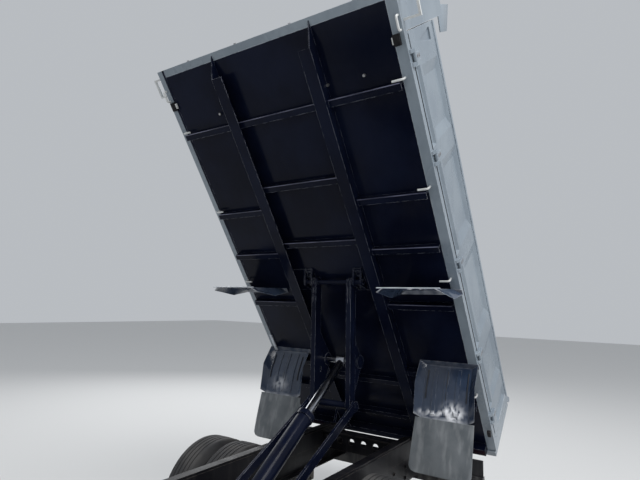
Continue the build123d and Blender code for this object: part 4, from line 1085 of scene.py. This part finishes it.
@dataclass
class Tyres(Assembly):
    """Ribbed tyres that stand for the plain ones."""

    radius: float = 0.355
    width: float = 0.200
    rim_radius: float = 0.203
    groove: float = 0.010
    groove_half: float = 0.0045
    groove_foot: float = 0.6
    rib_lines: tuple[float, ...] = (-0.045, -0.016, 0.016, 0.045)
    shoulder: float = 0.030
    steps: int = 96
    sets: tuple[tuple[str, str, float, tuple[float, ...]], ...] = (
        ("front_tyre", "front_wheel", WHEELBASE, (0.700,)),
        ("rear_tyres", "rear_wheels", 0.0, (0.503, 0.737)),
    )

    def section(self) -> list[Span]:
        """Section of the tyre from bead to bead, with its tread grooves.

        Returns:
            (radius, offset) points.
        """
        half, r, rim = self.width / 2, self.radius, self.rim_radius
        wall = [
            (rim, -0.078), (rim + 0.010, -0.086), (rim + 0.016, -0.084), (rim + 0.040, -0.095),
            (0.279, -half), (0.300, -half), (0.303, -half - 0.0015), (0.310, -half - 0.0015),
            (0.313, -half),
            (r - 0.026, -half + 0.006), (r - 0.012, -half + 0.014), (r - 0.003, -half + 0.022),
        ]
        tread = [(r - 0.001, -half + self.shoulder)]
        foot = self.groove_half * self.groove_foot
        for line in self.rib_lines:
            edge = 0.0008 if abs(line) > 0.03 else 0.0
            tread += [(r - edge, line - self.groove_half), (r - self.groove, line - foot),
                      (r - self.groove, line + foot), (r - edge, line + self.groove_half)]
        tread.append((r - 0.001, half - self.shoulder))
        return wall + tread + [(radius, -offset) for radius, offset in reversed(wall)]

    def make(self) -> None:
        """Build the six tyres and hand each to its wheel."""
        ring = self.lathe("tyre", self.section(), self.steps)
        for node, body, x, across in self.sets:
            for side, sign in SIDES:
                spots = [Matrix.Translation(place(x, sign * y, AXLE_Z)) for y in across]
                piece = self.copies(self.link("tyre", ring.data.copy()), f"ribbed_{node}_{side}", spots)
                self.palette.fit(piece, "tyre_rubber", f"{body}_{side}", [f"{node}_{side}"])
        bpy.data.objects.remove(ring)


@dataclass(frozen=True)
class Hub:
    """Where the nuts of one wheel stand, and their size."""

    wheel: str
    x: float
    y: float
    ring_radius: float
    nut_radius: float


@dataclass
class WheelNuts(Assembly):
    """Hex nuts with their stud ends, round each hub."""

    count: int = 5
    height: float = 0.020
    stud: float = 0.008
    nut_wall: float = 0.42
    bevel: float = 0.0012
    hubs: tuple[Hub, ...] = (
        Hub("front_wheel", WHEELBASE, 0.752, 0.083, 0.012),
        Hub("rear_wheels", 0.0, 0.695, 0.105, 0.016),
    )

    def nut(self, radius: float) -> Piece:
        """One nut with its stud end, its axis along Y from the origin.

        Args:
            radius: Radius of the nut.

        Returns:
            The nut.
        """
        piece = self.start("nut", bpy.ops.mesh.primitive_cylinder_add, vertices=6, radius=radius,
                           depth=self.height, location=(0.0, self.height / 2, 0.0),
                           rotation=(math.pi / 2, 0.0, 0.0))
        self.choose(piece, "EDIT")
        bpy.ops.mesh.select_mode(type="FACE")
        mesh = bmesh.from_edit_mesh(piece.data)
        for face in mesh.faces:
            face.select_set(face.normal.y > 0.9)
        mesh.select_flush_mode()
        bmesh.update_edit_mesh(piece.data)
        bpy.ops.mesh.inset(thickness=radius * self.nut_wall)
        bpy.ops.mesh.extrude_region_move(TRANSFORM_OT_translate={"value": (0.0, self.stud, 0.0)})
        return self.modify(piece, "BEVEL", width=self.bevel, segments=1, limit_method="ANGLE")

    def make(self) -> None:
        """Put nuts on the four hubs."""
        for hub in self.hubs:
            for side, sign in SIDES:
                middle = Matrix.Translation(place(hub.x, sign * hub.y, AXLE_Z))
                middle = middle @ Matrix.Scale(sign, 4, (0.0, 1.0, 0.0))
                spots = [middle @ Matrix.Rotation(math.tau * k / self.count, 4, "Y")
                         @ Matrix.Translation((0.0, 0.0, hub.ring_radius)) for k in range(self.count)]
                body = f"{hub.wheel}_{side}"
                piece = self.copies(self.nut(hub.nut_radius), f"nuts_{body}", spots)
                self.palette.fit(piece, "bare_steel", body)


@dataclass(frozen=True)
class Spring:
    """Sizes of one axle's leaf packs."""

    x: float
    seat: float
    half: float


@dataclass
class LeafPacks(Assembly):
    """Stacked leaves with hangers and U-bolts, which stand for the plain springs."""

    springs: tuple[Spring, ...] = (Spring(0.0, 0.407, 0.520), Spring(WHEELBASE, 0.395, 0.480))
    y: float = 0.330
    width: float = 0.060
    leaves: int = 5
    pitch: float = 0.0076
    leaf_gap: float = 0.0009
    leaf_bevel: float = 0.0012
    shortening: float = 0.17
    narrowing: float = 0.12
    arch_top: float = 0.038
    eye_z: float = 0.4225
    rail_bottom: float = 0.4545
    hanger_half: float = 0.045
    hanger_wall: float = 0.006
    hanger_bottom: float = 0.385
    pin_z: float = 0.402
    pin_radius: float = 0.010
    u_bolt_x: float = 0.062
    u_bolt_top: float = 0.042
    u_bolt_foot: float = 0.290
    u_bolt_radius: float = 0.0055
    clamp_low: Point = (0.080, 0.014, 0.292)
    clamp_top: float = 0.302
    bevel: float = 0.002

    def leaf(self, spring: Spring, index: int) -> Piece:
        """One leaf of a pack.

        Args:
            spring: The pack.
            index: Place in the pack, from the longest down.

        Returns:
            The leaf.
        """
        half = spring.half * (1.0 - self.shortening * index)
        top = spring.seat + self.arch_top - self.pitch * (index + 0.5)
        drop = top + self.pitch * index - self.eye_z
        piece = self.start("leaf", bpy.ops.mesh.primitive_grid_add, x_subdivisions=20, y_subdivisions=1,
                           size=2.0)

        def bend(point: Vector) -> Vector:
            """Place a point of the flat grid on the arched leaf, whose ends are narrower.

            Args:
                point: Point of the grid.

            Returns:
                Its place on the leaf.
            """
            wide = 1.0 - self.narrowing * index * (abs(point.x) > 0.95)
            return Vector((spring.x + point.x * half, self.y + point.y * self.width / 2 * wide,
                           top - drop * (point.x * half / spring.half) ** 2))

        self.shape(piece, bend)
        self.thicken(piece, self.pitch - self.leaf_gap, self.leaf_bevel, 1, limit_method="ANGLE")
        return self.tidy(piece)

    def pack(self, spring: Spring) -> list[Piece]:
        """Leaves, hangers and U-bolts of a pack.

        Args:
            spring: The pack.

        Returns:
            Its pieces.
        """
        made = [self.leaf(spring, index) for index in range(self.leaves)]
        low, high, wall = self.y - self.width / 2, self.y + self.width / 2, self.hanger_wall
        for end in (-1, 1):
            x = spring.x + end * spring.half
            for side in (low - 0.004, high - 0.002):
                made.append(self.slab("hanger", (x - self.hanger_half, side, self.hanger_bottom),
                                      (x + self.hanger_half, side + wall, self.rail_bottom), self.bevel))
            pin = ((x, low - 0.004, self.pin_z), (x, high + 0.004, self.pin_z))
            made.append(self.wire("pin", pin, self.pin_radius, False, 0.0))
            x, top = spring.x + end * self.u_bolt_x, spring.seat + self.u_bolt_top
            loop = ((x, low - wall, self.u_bolt_foot), (x, low - wall, top),
                    (x, high + wall, top), (x, high + wall, self.u_bolt_foot))
            made.append(self.wire("u_bolt", loop, self.u_bolt_radius, False, 0.012))
        along, across, bottom = self.clamp_low
        made.append(self.slab("clamp", (spring.x - along, low - across, bottom),
                              (spring.x + along, high + across, self.clamp_top), self.bevel))
        return made

    def make(self) -> None:
        """Build the four packs."""
        model = self.join("leaf_packs", [piece for spring in self.springs for piece in self.pack(spring)])
        piece = self.copies(model, "leaf_packs", [CHASSIS, CHASSIS @ MIRROR])
        self.palette.fit(piece, "cast_iron", "chassis", ["leaf_springs"])


# Guards and flaps


@dataclass(frozen=True)
class Guard:
    """How the guards at one end of the wheels face, where their foot is and how white their edges are: bare
    steel and painted glint.
    """

    way: Point
    foot: float
    bare_and_glint_lip: float
    bare_and_glint_foot: float


@dataclass(frozen=True)
class Dent:
    """A crumpled place of a guard, in bed coordinates."""

    centre: Point
    across: float
    along: float
    depth: float
    bare_and_glint: float


@dataclass
class PressedGuards(Assembly):
    """Bent steel guards with dents; white on the crumples and lips stands for bare steel and a painted
    glint.
    """

    rear: Guard = Guard((0.778, 0.0, -0.628), 0.290, 0.25, 0.45)
    front: Guard = Guard((-0.80, 0.0, -0.60), 0.300, 0.7, 0.95)
    parting: float = 0.95
    columns: tuple[float, float, int] = (0.462, 0.015, 26)
    rows: tuple[tuple[float, float, int], ...] = ((0.450, 0.012, 16), (1.250, 0.012, 17))
    merge: float = 0.00002
    lip: Span = (0.001, 0.006)
    foot_half: float = 0.007
    wave: Span = (14.0, 0.0016)
    waver: tuple[float, float, float] = (25.0, 0.55, 0.9)
    ripples: Span = (38.0, 80.0)
    crush: Span = (0.45, 1.1)
    glint_and_scuff: Span = (0.62, 1.9)
    dents: tuple[Dent, ...] = (
        Dent((0.477, 0.705, -0.252), 0.050, 0.040, 0.014, 2.2),
        Dent((0.470, 0.570, -0.262), 0.080, 0.014, 0.004, 1.5),
        Dent((0.500, -0.675, -0.225), 0.060, 0.045, 0.008, 0.55),
        Dent((1.440, 0.720, -0.283), 0.070, 0.022, 0.006, 2.2),
        Dent((1.400, -0.560, -0.230), 0.090, 0.030, 0.004, 0.25),
    )

    def grid(self, piece: Piece) -> None:
        """Cut the guards into small cells.

        Args:
            piece: The guards.
        """
        mesh = bmesh.new()
        mesh.from_mesh(piece.data)
        bmesh.ops.remove_doubles(mesh, verts=mesh.verts[:], dist=self.merge)
        first, apart, count = self.columns
        cuts = [((0.0, sign * (first + apart * k), 0.0), (0.0, 1.0, 0.0))
                for sign in (-1, 1) for k in range(count)]
        cuts += [((first + apart * k, 0.0, 0.0), (1.0, 0.0, 0.0))
                 for first, apart, count in self.rows for k in range(count)]
        for spot, way in cuts:
            bmesh.ops.bisect_plane(mesh, geom=mesh.verts[:] + mesh.edges[:] + mesh.faces[:],
                                   dist=self.merge / 2, plane_co=BED @ Vector(spot),
                                   plane_no=BED.to_3x3() @ Vector(way))
        mesh.to_mesh(piece.data)
        mesh.free()

    def wear(self, spot: Vector, guard: Guard) -> tuple[float, float]:
        """Find how far a point is pushed out and how white it is: bare steel and painted glint.

        Args:
            spot: The point, in bed coordinates.
            guard: The guards it is on.

        Returns:
            Distance along the guard's facing, and the share of white: bare steel and painted glint.
        """
        scale, height = self.wave
        push = height * noise.noise(spot * scale)
        scale, least, more = self.waver
        lip = math.exp(-((spot.z - self.lip[0]) / self.lip[1]) ** 2)
        foot = math.exp(-((spot.z + guard.foot) / self.foot_half) ** 2)
        shine = (guard.bare_and_glint_lip * lip + guard.bare_and_glint_foot * foot) * (least + more * noise.noise(spot * scale))
        ripple = noise.noise(spot * self.ripples[0]) + 0.5 * noise.noise(spot * self.ripples[1])
        for dent in self.dents:
            x, y, z = dent.centre
            if y * spot.y < 0 or (x < self.parting) != (guard is self.rear):
                continue
            along = math.hypot(spot.x - x, spot.z - z) / dent.along
            weight = math.exp(-(((spot.y - y) / dent.across) ** 2 + along ** 2))
            push += weight * dent.depth * (self.crush[0] + self.crush[1] * ripple)
            shine += dent.bare_and_glint * weight * max(0.0, min(1.0, self.glint_and_scuff[0] + self.glint_and_scuff[1] * ripple))
        return push, max(0.0, min(1.0, shine))

    def make(self) -> None:
        """Copy the CAD guards, dent them and mark the white of bare steel and painted glint."""
        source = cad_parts["wheel_guards"]
        piece = self.link("dented_guards", source.data.copy())
        self.settle(piece, source.matrix_world.copy())
        bpy.ops.mesh.customdata_custom_splitnormals_clear()
        self.grid(piece)
        back = BED.inverted()
        bare_and_glint = piece.data.attributes.new("bare_and_glint", "FLOAT", "POINT")
        for vertex, mark in zip(piece.data.vertices, bare_and_glint.data):
            spot = back @ vertex.co
            guard = self.rear if spot.x < self.parting else self.front
            # The mark is the white share: bare steel and painted glint.
            push, mark.value = self.wear(spot, guard)
            vertex.co = BED @ (spot + Vector(guard.way) * push)
        self.tidy(piece, 40.0)
        self.palette.fit(piece, "guard_paint", "bed", ["wheel_guards"])


@dataclass
class Flaps(Assembly):
    """Rubber flaps under the rear guards, with their clamp strips."""

    top: Span = (0.447, -0.290)
    way: Span = (-0.628, -0.778)
    low_y: float = 0.460
    high_y: float = 0.841
    length: float = 0.330
    thickness: float = 0.006
    bevel: float = 0.0012
    corner: float = 0.045
    flare: float = 0.016
    wave_across: Span = (0.004, 4.2)
    wave_down: Span = (0.003, 14.0)
    strip: tuple[Span, Span] = ((0.008, -0.0062), (0.034, -0.0032))
    strip_inset: float = 0.01
    bolt_radius: float = 0.0075
    bolt_down: float = 0.021
    bolt_shares: tuple[float, ...] = (-0.8, -0.28, 0.28, 0.8)

    def frame(self) -> Matrix:
        """Find where the left flap hangs.

        Returns:
            Matrix from flap coordinates (down, across, ahead) to the bed's.
        """
        down = Vector((self.way[0], 0.0, self.way[1]))
        across = Vector((0.0, 1.0, 0.0))
        turn = Matrix((down, across, down.cross(across))).transposed().to_4x4()
        middle = Vector((self.top[0], (self.low_y + self.high_y) / 2, self.top[1]))
        return Matrix.Translation(middle) @ turn

    def flap(self, half: float) -> Piece:
        """One sheet with rounded lower corners and a slight wave.

        Args:
            half: Half its width.

        Returns:
            The flap, in flap coordinates.
        """

        def bend(point: Vector) -> Vector:
            """Place a point of the flat grid on the flap.

            Args:
                point: Point of the grid.

            Returns:
                Its place on the flap.
            """
            down = (point.x + 1.0) / 2 * self.length
            share = down / self.length
            past = max(0.0, down - (self.length - self.corner)) / self.corner
            wide = half - self.corner * (1.0 - math.sqrt(max(0.0, 1.0 - past * past)))
            wave = self.wave_across[0] * math.sin(point.y * self.wave_across[1] + 0.6)
            wave += self.wave_down[0] * math.sin(down * self.wave_down[1])
            flare = self.flare * share * (1.0 - point.y) / 2
            return Vector((down, point.y * wide - flare, wave * share ** 1.5))

        piece = self.start("flap", bpy.ops.mesh.primitive_grid_add, x_subdivisions=40, y_subdivisions=24,
                           size=2.0)
        self.shape(piece, bend)
        self.thicken(piece, self.thickness, self.bevel, 2, limit_method="ANGLE")
        return self.tidy(piece, 50.0)

    def make(self) -> None:
        """Build both flaps with their strips and bolts."""
        half = (self.high_y - self.low_y) / 2
        turns = [BED @ self.frame(), BED @ MIRROR @ self.frame()]
        flaps = self.copies(self.flap(half), "rubber_flaps", turns)
        self.palette.fit(flaps, "flap_rubber", "bed", ["mud_flaps"])
        (top, back), (bottom, ahead) = self.strip
        reach = half - self.strip_inset
        strips = self.slab("strip", (top, -reach, back), (bottom, reach, ahead), 0.001)
        self.palette.fit(self.copies(strips, "flap_strips", turns), "chassis_paint", "bed")
        flip = Matrix.Scale(-1.0, 4, (0.0, 0.0, 1.0))
        seats = [Matrix.Translation((self.bolt_down, half * share, -self.thickness)) @ flip
                 for share in self.bolt_shares]
        spots = [turn @ seat for turn in turns for seat in seats]
        heads = self.copies(self.bolt(self.bolt_radius), "flap_bolts", spots)
        self.palette.fit(heads, "bare_steel", "bed")


# Cab


@dataclass
class Seats(Assembly):
    """Cushions with seams on a plain base, which stand for the plain seats."""

    widths: tuple[Span, ...] = ((-0.700, -0.190), (-0.150, 0.700))
    seat_x: Span = (2.425, 2.915)
    seat_z: Span = (1.000, 1.118)
    seat_radius: float = 0.035
    back_x: Span = (-0.290, 0.290)
    back_z: Span = (-0.045, 0.037)
    back_radius: float = 0.032
    back_middle: Point = (2.328, 0.0, 1.405)
    lean: float = math.radians(98.5)
    seams: int = 3
    base: tuple[Point, Point] = ((2.180, -0.740, 0.840), (2.880, 0.740, 1.000))

    def make(self) -> None:
        """Build the cushions, their backs and the base."""
        pieces = []
        for low, high in self.widths:
            (x0, x1), (z0, z1) = self.seat_x, self.seat_z
            seat = self.cushion("cushion", (x0, low, z0), (x1, high, z1), self.seat_radius, self.seams)
            (x0, x1), (z0, z1) = self.back_x, self.back_z
            back = self.cushion("back", (x0, low, z0), (x1, high, z1), self.back_radius, self.seams)
            lean = Matrix.Translation(self.back_middle) @ Matrix.Rotation(-self.lean, 4, "Y")
            pieces += [seat, self.settle(back, lean)]
        soft = self.copies(self.join("seat_cushions", pieces), "seat_cushions", [CHASSIS])
        self.palette.fit(soft, "seat_cloth", "chassis", ["seats"])
        base = self.copies(self.slab("seat_base", *self.base, 0.012), "seat_base", [CHASSIS])
        self.palette.fit(base, "trim_black", "chassis")


def screen_x(z: float) -> float:
    """Front of the windscreen at a height."""
    return 3.550 - 0.260 * (z - BELT_Z) / 0.690


def door_y(z: float) -> float:
    """Outer side of a door above the belt at a height."""
    return CAB_HALF - 0.085 * (z - BELT_Z) / 0.660


def arch_line(radius: float = 0.440, steps: int = 18) -> tuple[Point, ...]:
    """Lip of the front wheel arch.

    Args:
        radius: Radius of the arch about the front axle.
        steps: Steps along it.

    Returns:
        Its points.
    """
    turns = [math.radians(28.0 + 124.0 * step / steps) for step in range(steps + 1)]
    return tuple((WHEELBASE + radius * math.cos(turn), 0.843, AXLE_Z + radius * math.sin(turn))
                 for turn in turns)


def window_line() -> tuple[Point, ...]:
    """Gasket round a door window."""
    corners = ((2.540, 1.270), (3.302, 1.270), (3.115, 1.790), (2.540, 1.790))
    return tuple((x, door_y(z) + 0.001, z) for x, z in corners)


DETAILS: tuple[Detail, ...] = (
    Bars("windscreen_gasket", "trim_black", "chassis", radius=0.009, closed=True, bend=0.07, lines=(tuple(
        (screen_x(z) + 0.002, y, z)
        for y, z in ((-0.720, 1.280), (0.720, 1.280), (0.655, 1.870), (-0.655, 1.870))),)),
    Bars("rear_gasket", "trim_black", "chassis", radius=0.008, closed=True, bend=0.06, lines=(tuple(
        (CAB_REAR, y, z) for y, z in ((-0.520, 1.420), (0.520, 1.420), (0.500, 1.780), (-0.500, 1.780))),)),
    Bars("door_gasket", "trim_black", "door_{side}", lines=(window_line(),), radius=0.007, closed=True,
         bend=0.05),
    Bars("wipers", "trim_black", "chassis", lines=tuple(
        ((screen_x(1.262) + 0.010, y, 1.262), (screen_x(1.31) + 0.018, y - 0.16, 1.31),
         (screen_x(1.40) + 0.016, y - 0.46, 1.36)) for y in (0.60, 0.02)), radius=0.006, bend=0.03),
    Blocks("wiper_hubs", "trim_black", "chassis", boxes=tuple(
        ((screen_x(1.262) - 0.006, y - 0.016, 1.246), (screen_x(1.262) + 0.016, y + 0.016, 1.276))
        for y in (0.60, 0.02)), bevel=0.006),
    Bars("roof_gutter", "trim_black", "chassis", mirrored=True, radius=0.006, lines=(
        ((2.25, 0.762, 1.900), (3.12, 0.762, 1.900)),)),
    Bars("arch_lips", "trim_black", "chassis", mirrored=True, lines=(arch_line(),), radius=0.008),
    Blocks("handle_covers", "trim_black", "door_{side}", bevel=0.006, boxes=(
        ((2.538, 0.858, 1.118), (2.682, 0.8745, 1.147)),)),
    Bars("handle_dishes", "trim_black", "door_{side}", lines=((
        (2.548, 0.846, 1.096), (2.672, 0.846, 1.096), (2.672, 0.846, 1.166), (2.548, 0.846, 1.166)),),
        radius=0.003, closed=True, bend=0.02),
    Blocks("step_pads", "trim_black", "chassis", mirrored=True, bevel=0.002, boxes=tuple(
        ((3.000, 0.700 + 0.026 * k, 0.638), (3.320, 0.712 + 0.026 * k, 0.645)) for k in range(5))),
    Plates("mirror_faces", "mirror_glass", "chassis", mirrored=True, corners=(
        ((3.3965, 0.925, 1.342), (3.3965, 1.040, 1.342), (3.3965, 1.040, 1.628), (3.3965, 0.925, 1.628)),),
        thickness=0.002),
    Bars("headlamp_frames", "trim_grey", "chassis", mirrored=True, lines=((
        (3.588, 0.512, 0.618), (3.545, 0.742, 0.618), (3.545, 0.742, 0.762), (3.588, 0.512, 0.762)),),
        radius=0.005, closed=True, bend=0.018),
    Bars("lamp_flutes", "lamp_lenses", "chassis", mirrored=True, lines=tuple(
        ((3.5885 - 0.2 * (y - 0.515), y, 0.632), (3.5885 - 0.2 * (y - 0.515), y, 0.748))
        for y in (0.545, 0.570, 0.595, 0.620, 0.645, 0.670)), radius=0.003),
    Blocks("front_plate", "plate_white", "chassis", bevel=0.001, boxes=(
        ((3.590, -0.165, 0.640), (3.594, 0.165, 0.750)),)),
    Blocks("rear_plate", "plate_white", "chassis", bevel=0.001, boxes=(
        ((-1.099, -0.165, 0.350), (-1.094, 0.165, 0.513)),)),
    Plates("wall_wings", "board_paint", "bed", mirrored=True, corners=(
        ((2.780, 0.834, 0.623), (2.630, 0.834, 0.590), (2.618, 0.834, 0.721), (2.757, 0.834, 0.851)),),
        thickness=0.007),
    Blocks("catch_covers", "chassis_paint", "bed", mirrored=True, boxes=(
        ((2.661, 0.782, -0.024), (2.717, 0.818, -0.001)), ((0.085, 0.818, -0.052), (0.130, 0.842, -0.030))),
        bevel=0.003),
    Blocks("catch_latches", "plate_white", "bed", mirrored=True, boxes=(
        ((2.672, 0.774, -0.018), (2.706, 0.784, -0.004)),), bevel=0.002),
    Bars("floor_knobs", "bare_steel", "bed", lines=(
        ((2.57, -0.445, -0.014), (2.57, -0.445, 0.002)), ((2.57, 0.361, -0.014), (2.57, 0.361, 0.002)),
        ((2.57, 0.584, -0.014), (2.57, 0.584, 0.002))), radius=0.008),
    # White bead along the front guards' lower edges: worn paint with a painted highlight of the lip.
    Bars("guard_beads", "bright_white", "bed", mirrored=True, lines=(
        ((1.4545, 0.462, -0.301), (1.4545, 0.838, -0.301)),), radius=0.0032),
    # Near-black bars along the rear guards' ribs: painted shade in the creases.
    Bars("guard_crease_shadows", "groove_shade", "bed", mirrored=True, radius=0.0036, bend=0.02, lines=tuple(
        ((0.6241, y, -0.0387), (0.5630, y, -0.1520), (0.5267, y, -0.1972)) for y in (0.520, 0.653, 0.786))),
    # Near-black bar along the side boards' lower edge: painted shade in the recess between rail and board.
    Bars("board_gap_shadow", "groove_shade", "bed", mirrored=True, radius=0.0024, lines=(
        ((0.020, 0.8378, 0.0475), (2.700, 0.8378, 0.0475)),)),
    Blocks("guard_strap", "bright_white", "bed", boxes=(
        ((0.645, -0.806, -0.014), (0.800, -0.782, -0.004)),), bevel=0.003),
    Blocks("floor_liner", "floor_steel", "bed", bevel=0.0006, boxes=(
        ((-0.092, -0.786, 0.005), (2.868, 0.786, 0.0066)),)),
    # Dark strip under the inner edge of the right rail, which narrows the rail's pale band.
    Blocks("rail_dark_strip", "underside_paint", "bed", boxes=(
        ((-0.100, -0.797, -0.0012), (2.921, -0.779, 0.0002)),), bevel=0.0004),
    # Pale navy bars along the cross-members' edges: painted highlights.
    Bars("member_edge_highlights", "highlight_navy", "bed", mirrored=True, radius=0.0030, lines=tuple(
        ((u + 0.003, y0, -0.0415), (u + 0.003, y1, -0.0415)) for y0, y1, rows in (
            (0.002, 0.347, (2.491, 2.051, 1.635)), (0.357, 0.775, (2.491, 1.897, 1.560, 1.150)))
        for u in rows)),
    # White bar in the gap at the side boards' rear end: a painted highlight of the gap's edge.
    Bars("board_seam_highlights", "bright_white", "bed", mirrored=True, lines=(
        ((-0.002, 0.836, 0.190), (-0.002, 0.836, 0.448)),), radius=0.0028),
    Bolts("strap_bolts", "bare_steel", "side_board_{side}", mirrored=True, node="side_board_{side}",
          radius=0.007, flat=0.2,
          spots=tuple((u, 1.0, n) for u in (2.587, 2.064, 1.396, 0.707, 0.181) for n in (0.064, 0.090))),
    Bolts("rail_bolts", "chassis_paint", "chassis", mirrored=True, node="frame_rails", radius=0.010,
          spots=tuple((x, 1.0, z) for x in (-0.70, -0.52, 0.52, 0.90, 1.28, 1.66, 2.02)
                      for z in (0.490, 0.560))),
    Bolts("wall_bolts", "bare_steel", "bed", node="bed_body", radius=0.008, facing=Facing.AHEAD,
          spots=tuple((3.4, y, n) for y in (-0.60, -0.20, 0.20, 0.60) for n in (0.06, 0.40))),
    Bolts("engine_bolts", "bare_steel", "chassis", mirrored=True, node="drivetrain", radius=0.010,
          spots=tuple((x, 1.0, 0.60) for x in (2.30, 2.50, 2.70))),
    Bolts("hub_bolts", "cast_iron", "chassis", node="axles", radius=0.008, facing=Facing.BACK, spots=tuple(
        (-1.0, 0.105 * math.cos(math.tau * k / 10), AXLE_Z + 0.105 * math.sin(math.tau * k / 10))
        for k in range(10))),
    # Bare-steel sleeves on the lift arm's pins; the lower pair is there to give the lower cross shaft its
    # bright highlight.
    Bars("pin_sleeves", "bare_steel", "lift_arm", mirrored=True, lines=(
        ((-0.429, 0.040, 1.252), (-0.429, 0.112, 1.252)), ((-0.304, 0.034, 0.986), (-0.304, 0.116, 0.986))),
        radius=0.0195),
    Blocks("tank_straps", "bare_steel", "chassis", boxes=tuple(
        box for x in (1.030, 1.300) for box in (
            ((x, -0.6845, 0.3465), (x + 0.032, -0.6800, 0.6035)),
            ((x, -0.6845, 0.6000), (x + 0.032, -0.360, 0.6035)),
            ((x, -0.6845, 0.3465), (x + 0.032, -0.360, 0.3500)))), bevel=0.0008),
    Bars("battery_lid_lip", "trim_black", "chassis", closed=True, bend=0.02, radius=0.0045, lines=((
        (1.441, 0.382, 0.662), (1.769, 0.382, 0.662), (1.769, 0.615, 0.662), (1.441, 0.615, 0.662)),)),
    Blocks("battery_latches", "bare_steel", "chassis", boxes=tuple(
        ((x, 0.613, 0.640), (x + 0.024, 0.621, 0.682)) for x in (1.50, 1.69)), bevel=0.002),
    Bolts("tailgate_bolts", "bare_steel", "tailgate", mirrored=True, node="tailgate", radius=0.008,
          facing=Facing.BACK, spots=tuple((-0.5, y, n) for y in (0.28, 0.78) for n in (0.05, 0.30))),
    Bolts("beam_bolts", "chassis_paint", "chassis", mirrored=True, node="subframe", radius=0.011,
          facing=Facing.AHEAD, spots=((-0.40, 0.26, 0.665), (-0.40, 0.26, 0.625))),
    Bars("brake_pipe", "bare_steel", "chassis", lines=((
        (-0.62, 0.302, 0.660), (0.30, 0.302, 0.660), (0.42, 0.302, 0.640), (1.90, 0.302, 0.640)),),
        radius=0.004, bend=0.03),
)


# Stage


@dataclass(frozen=True)
class Lamp:
    """A square area lamp."""

    name: str
    where: Point
    aim: Point
    size: float
    power: float


@dataclass
class Studio(Workbench):
    """Pale floor, soft lights and the camera."""

    eye: Point = (2.467, 1.688, 1.622)
    yaw: float = 33.30
    pitch: float = 7.81
    roll: float = 1.71
    lens: float = 26.74
    sensor: float = 36.0
    clip: float = 0.02
    floor_size: float = 60.0
    floor_colour: Colour = (0.66, 0.66, 0.655)
    sky_colour: Colour = (0.86, 0.90, 0.95)
    sky_strength: float = 0.56
    lamps: tuple[Lamp, ...] = (
        Lamp("key", (1.5, 5.5, 8.5), (-0.5, 0.0, 1.2), 5.5, 700.0),
        Lamp("fill", (-5.0, -4.5, 5.0), (0.0, 0.0, 1.0), 6.0, 200.0),
    )

    def floor(self) -> None:
        """Large pale floor that shades only by what stands on it."""
        piece = self.start("floor", bpy.ops.mesh.primitive_plane_add, size=self.floor_size)
        material = Shading("floor_grey").close({"Base Color": self.floor_colour, "Roughness": 0.9})
        piece.data.materials.append(material)

    def lights(self) -> None:
        """Broad area lamps and an even pale world."""
        world = bpy.data.worlds.new("studio")
        world.use_nodes = True
        bpy.context.scene.world = world
        sky = world.node_tree.nodes["Background"]
        sky.inputs["Color"].default_value = (*self.sky_colour, 1.0)
        sky.inputs["Strength"].default_value = self.sky_strength
        for lamp in self.lamps:
            light = bpy.data.lights.new(lamp.name, "AREA")
            light.size = lamp.size
            light.energy = lamp.power
            holder = self.link(lamp.name, light)
            holder.location = lamp.where
            way = Vector(lamp.aim) - Vector(lamp.where)
            holder.rotation_euler = way.to_track_quat("-Z", "Y").to_euler()

    def camera(self) -> None:
        """Camera where the photograph was taken."""
        yaw, pitch, roll = (math.radians(v) for v in (self.yaw, self.pitch, self.roll))
        look = Vector((-math.cos(yaw) * math.cos(pitch), -math.sin(yaw) * math.cos(pitch), math.sin(pitch)))
        right = look.cross(Vector((0.0, 0.0, 1.0))).normalized()
        above = right.cross(look)
        side = right * math.cos(roll) + above * math.sin(roll)
        top = above * math.cos(roll) - right * math.sin(roll)
        data = bpy.data.cameras.new("camera")
        data.lens = self.lens
        data.sensor_width = self.sensor
        data.clip_start = self.clip
        holder = self.link("camera", data)
        turn = Matrix((side, top, -look)).transposed().to_4x4()
        holder.matrix_world = Matrix.Translation(place(*self.eye)) @ turn
        bpy.context.scene.camera = holder

    def make(self) -> None:
        """Set the whole stage."""
        self.floor()
        self.lights()
        self.camera()
        bpy.context.scene.view_settings.view_transform = "Standard"


def main() -> None:
    """Build every piece in order and note the sizes."""
    logging.basicConfig(level=logging.INFO)
    palette = Palette()
    Studio().make()
    palette.dress_nodes()
    for assembly in (Tyres, WheelNuts, LeafPacks, PressedGuards, Flaps, Seats):
        assembly(palette).make()
        log.info("%s done", assembly.__name__)
    for detail in DETAILS:
        detail.make(palette)


if __name__ == "__main__":
    main()
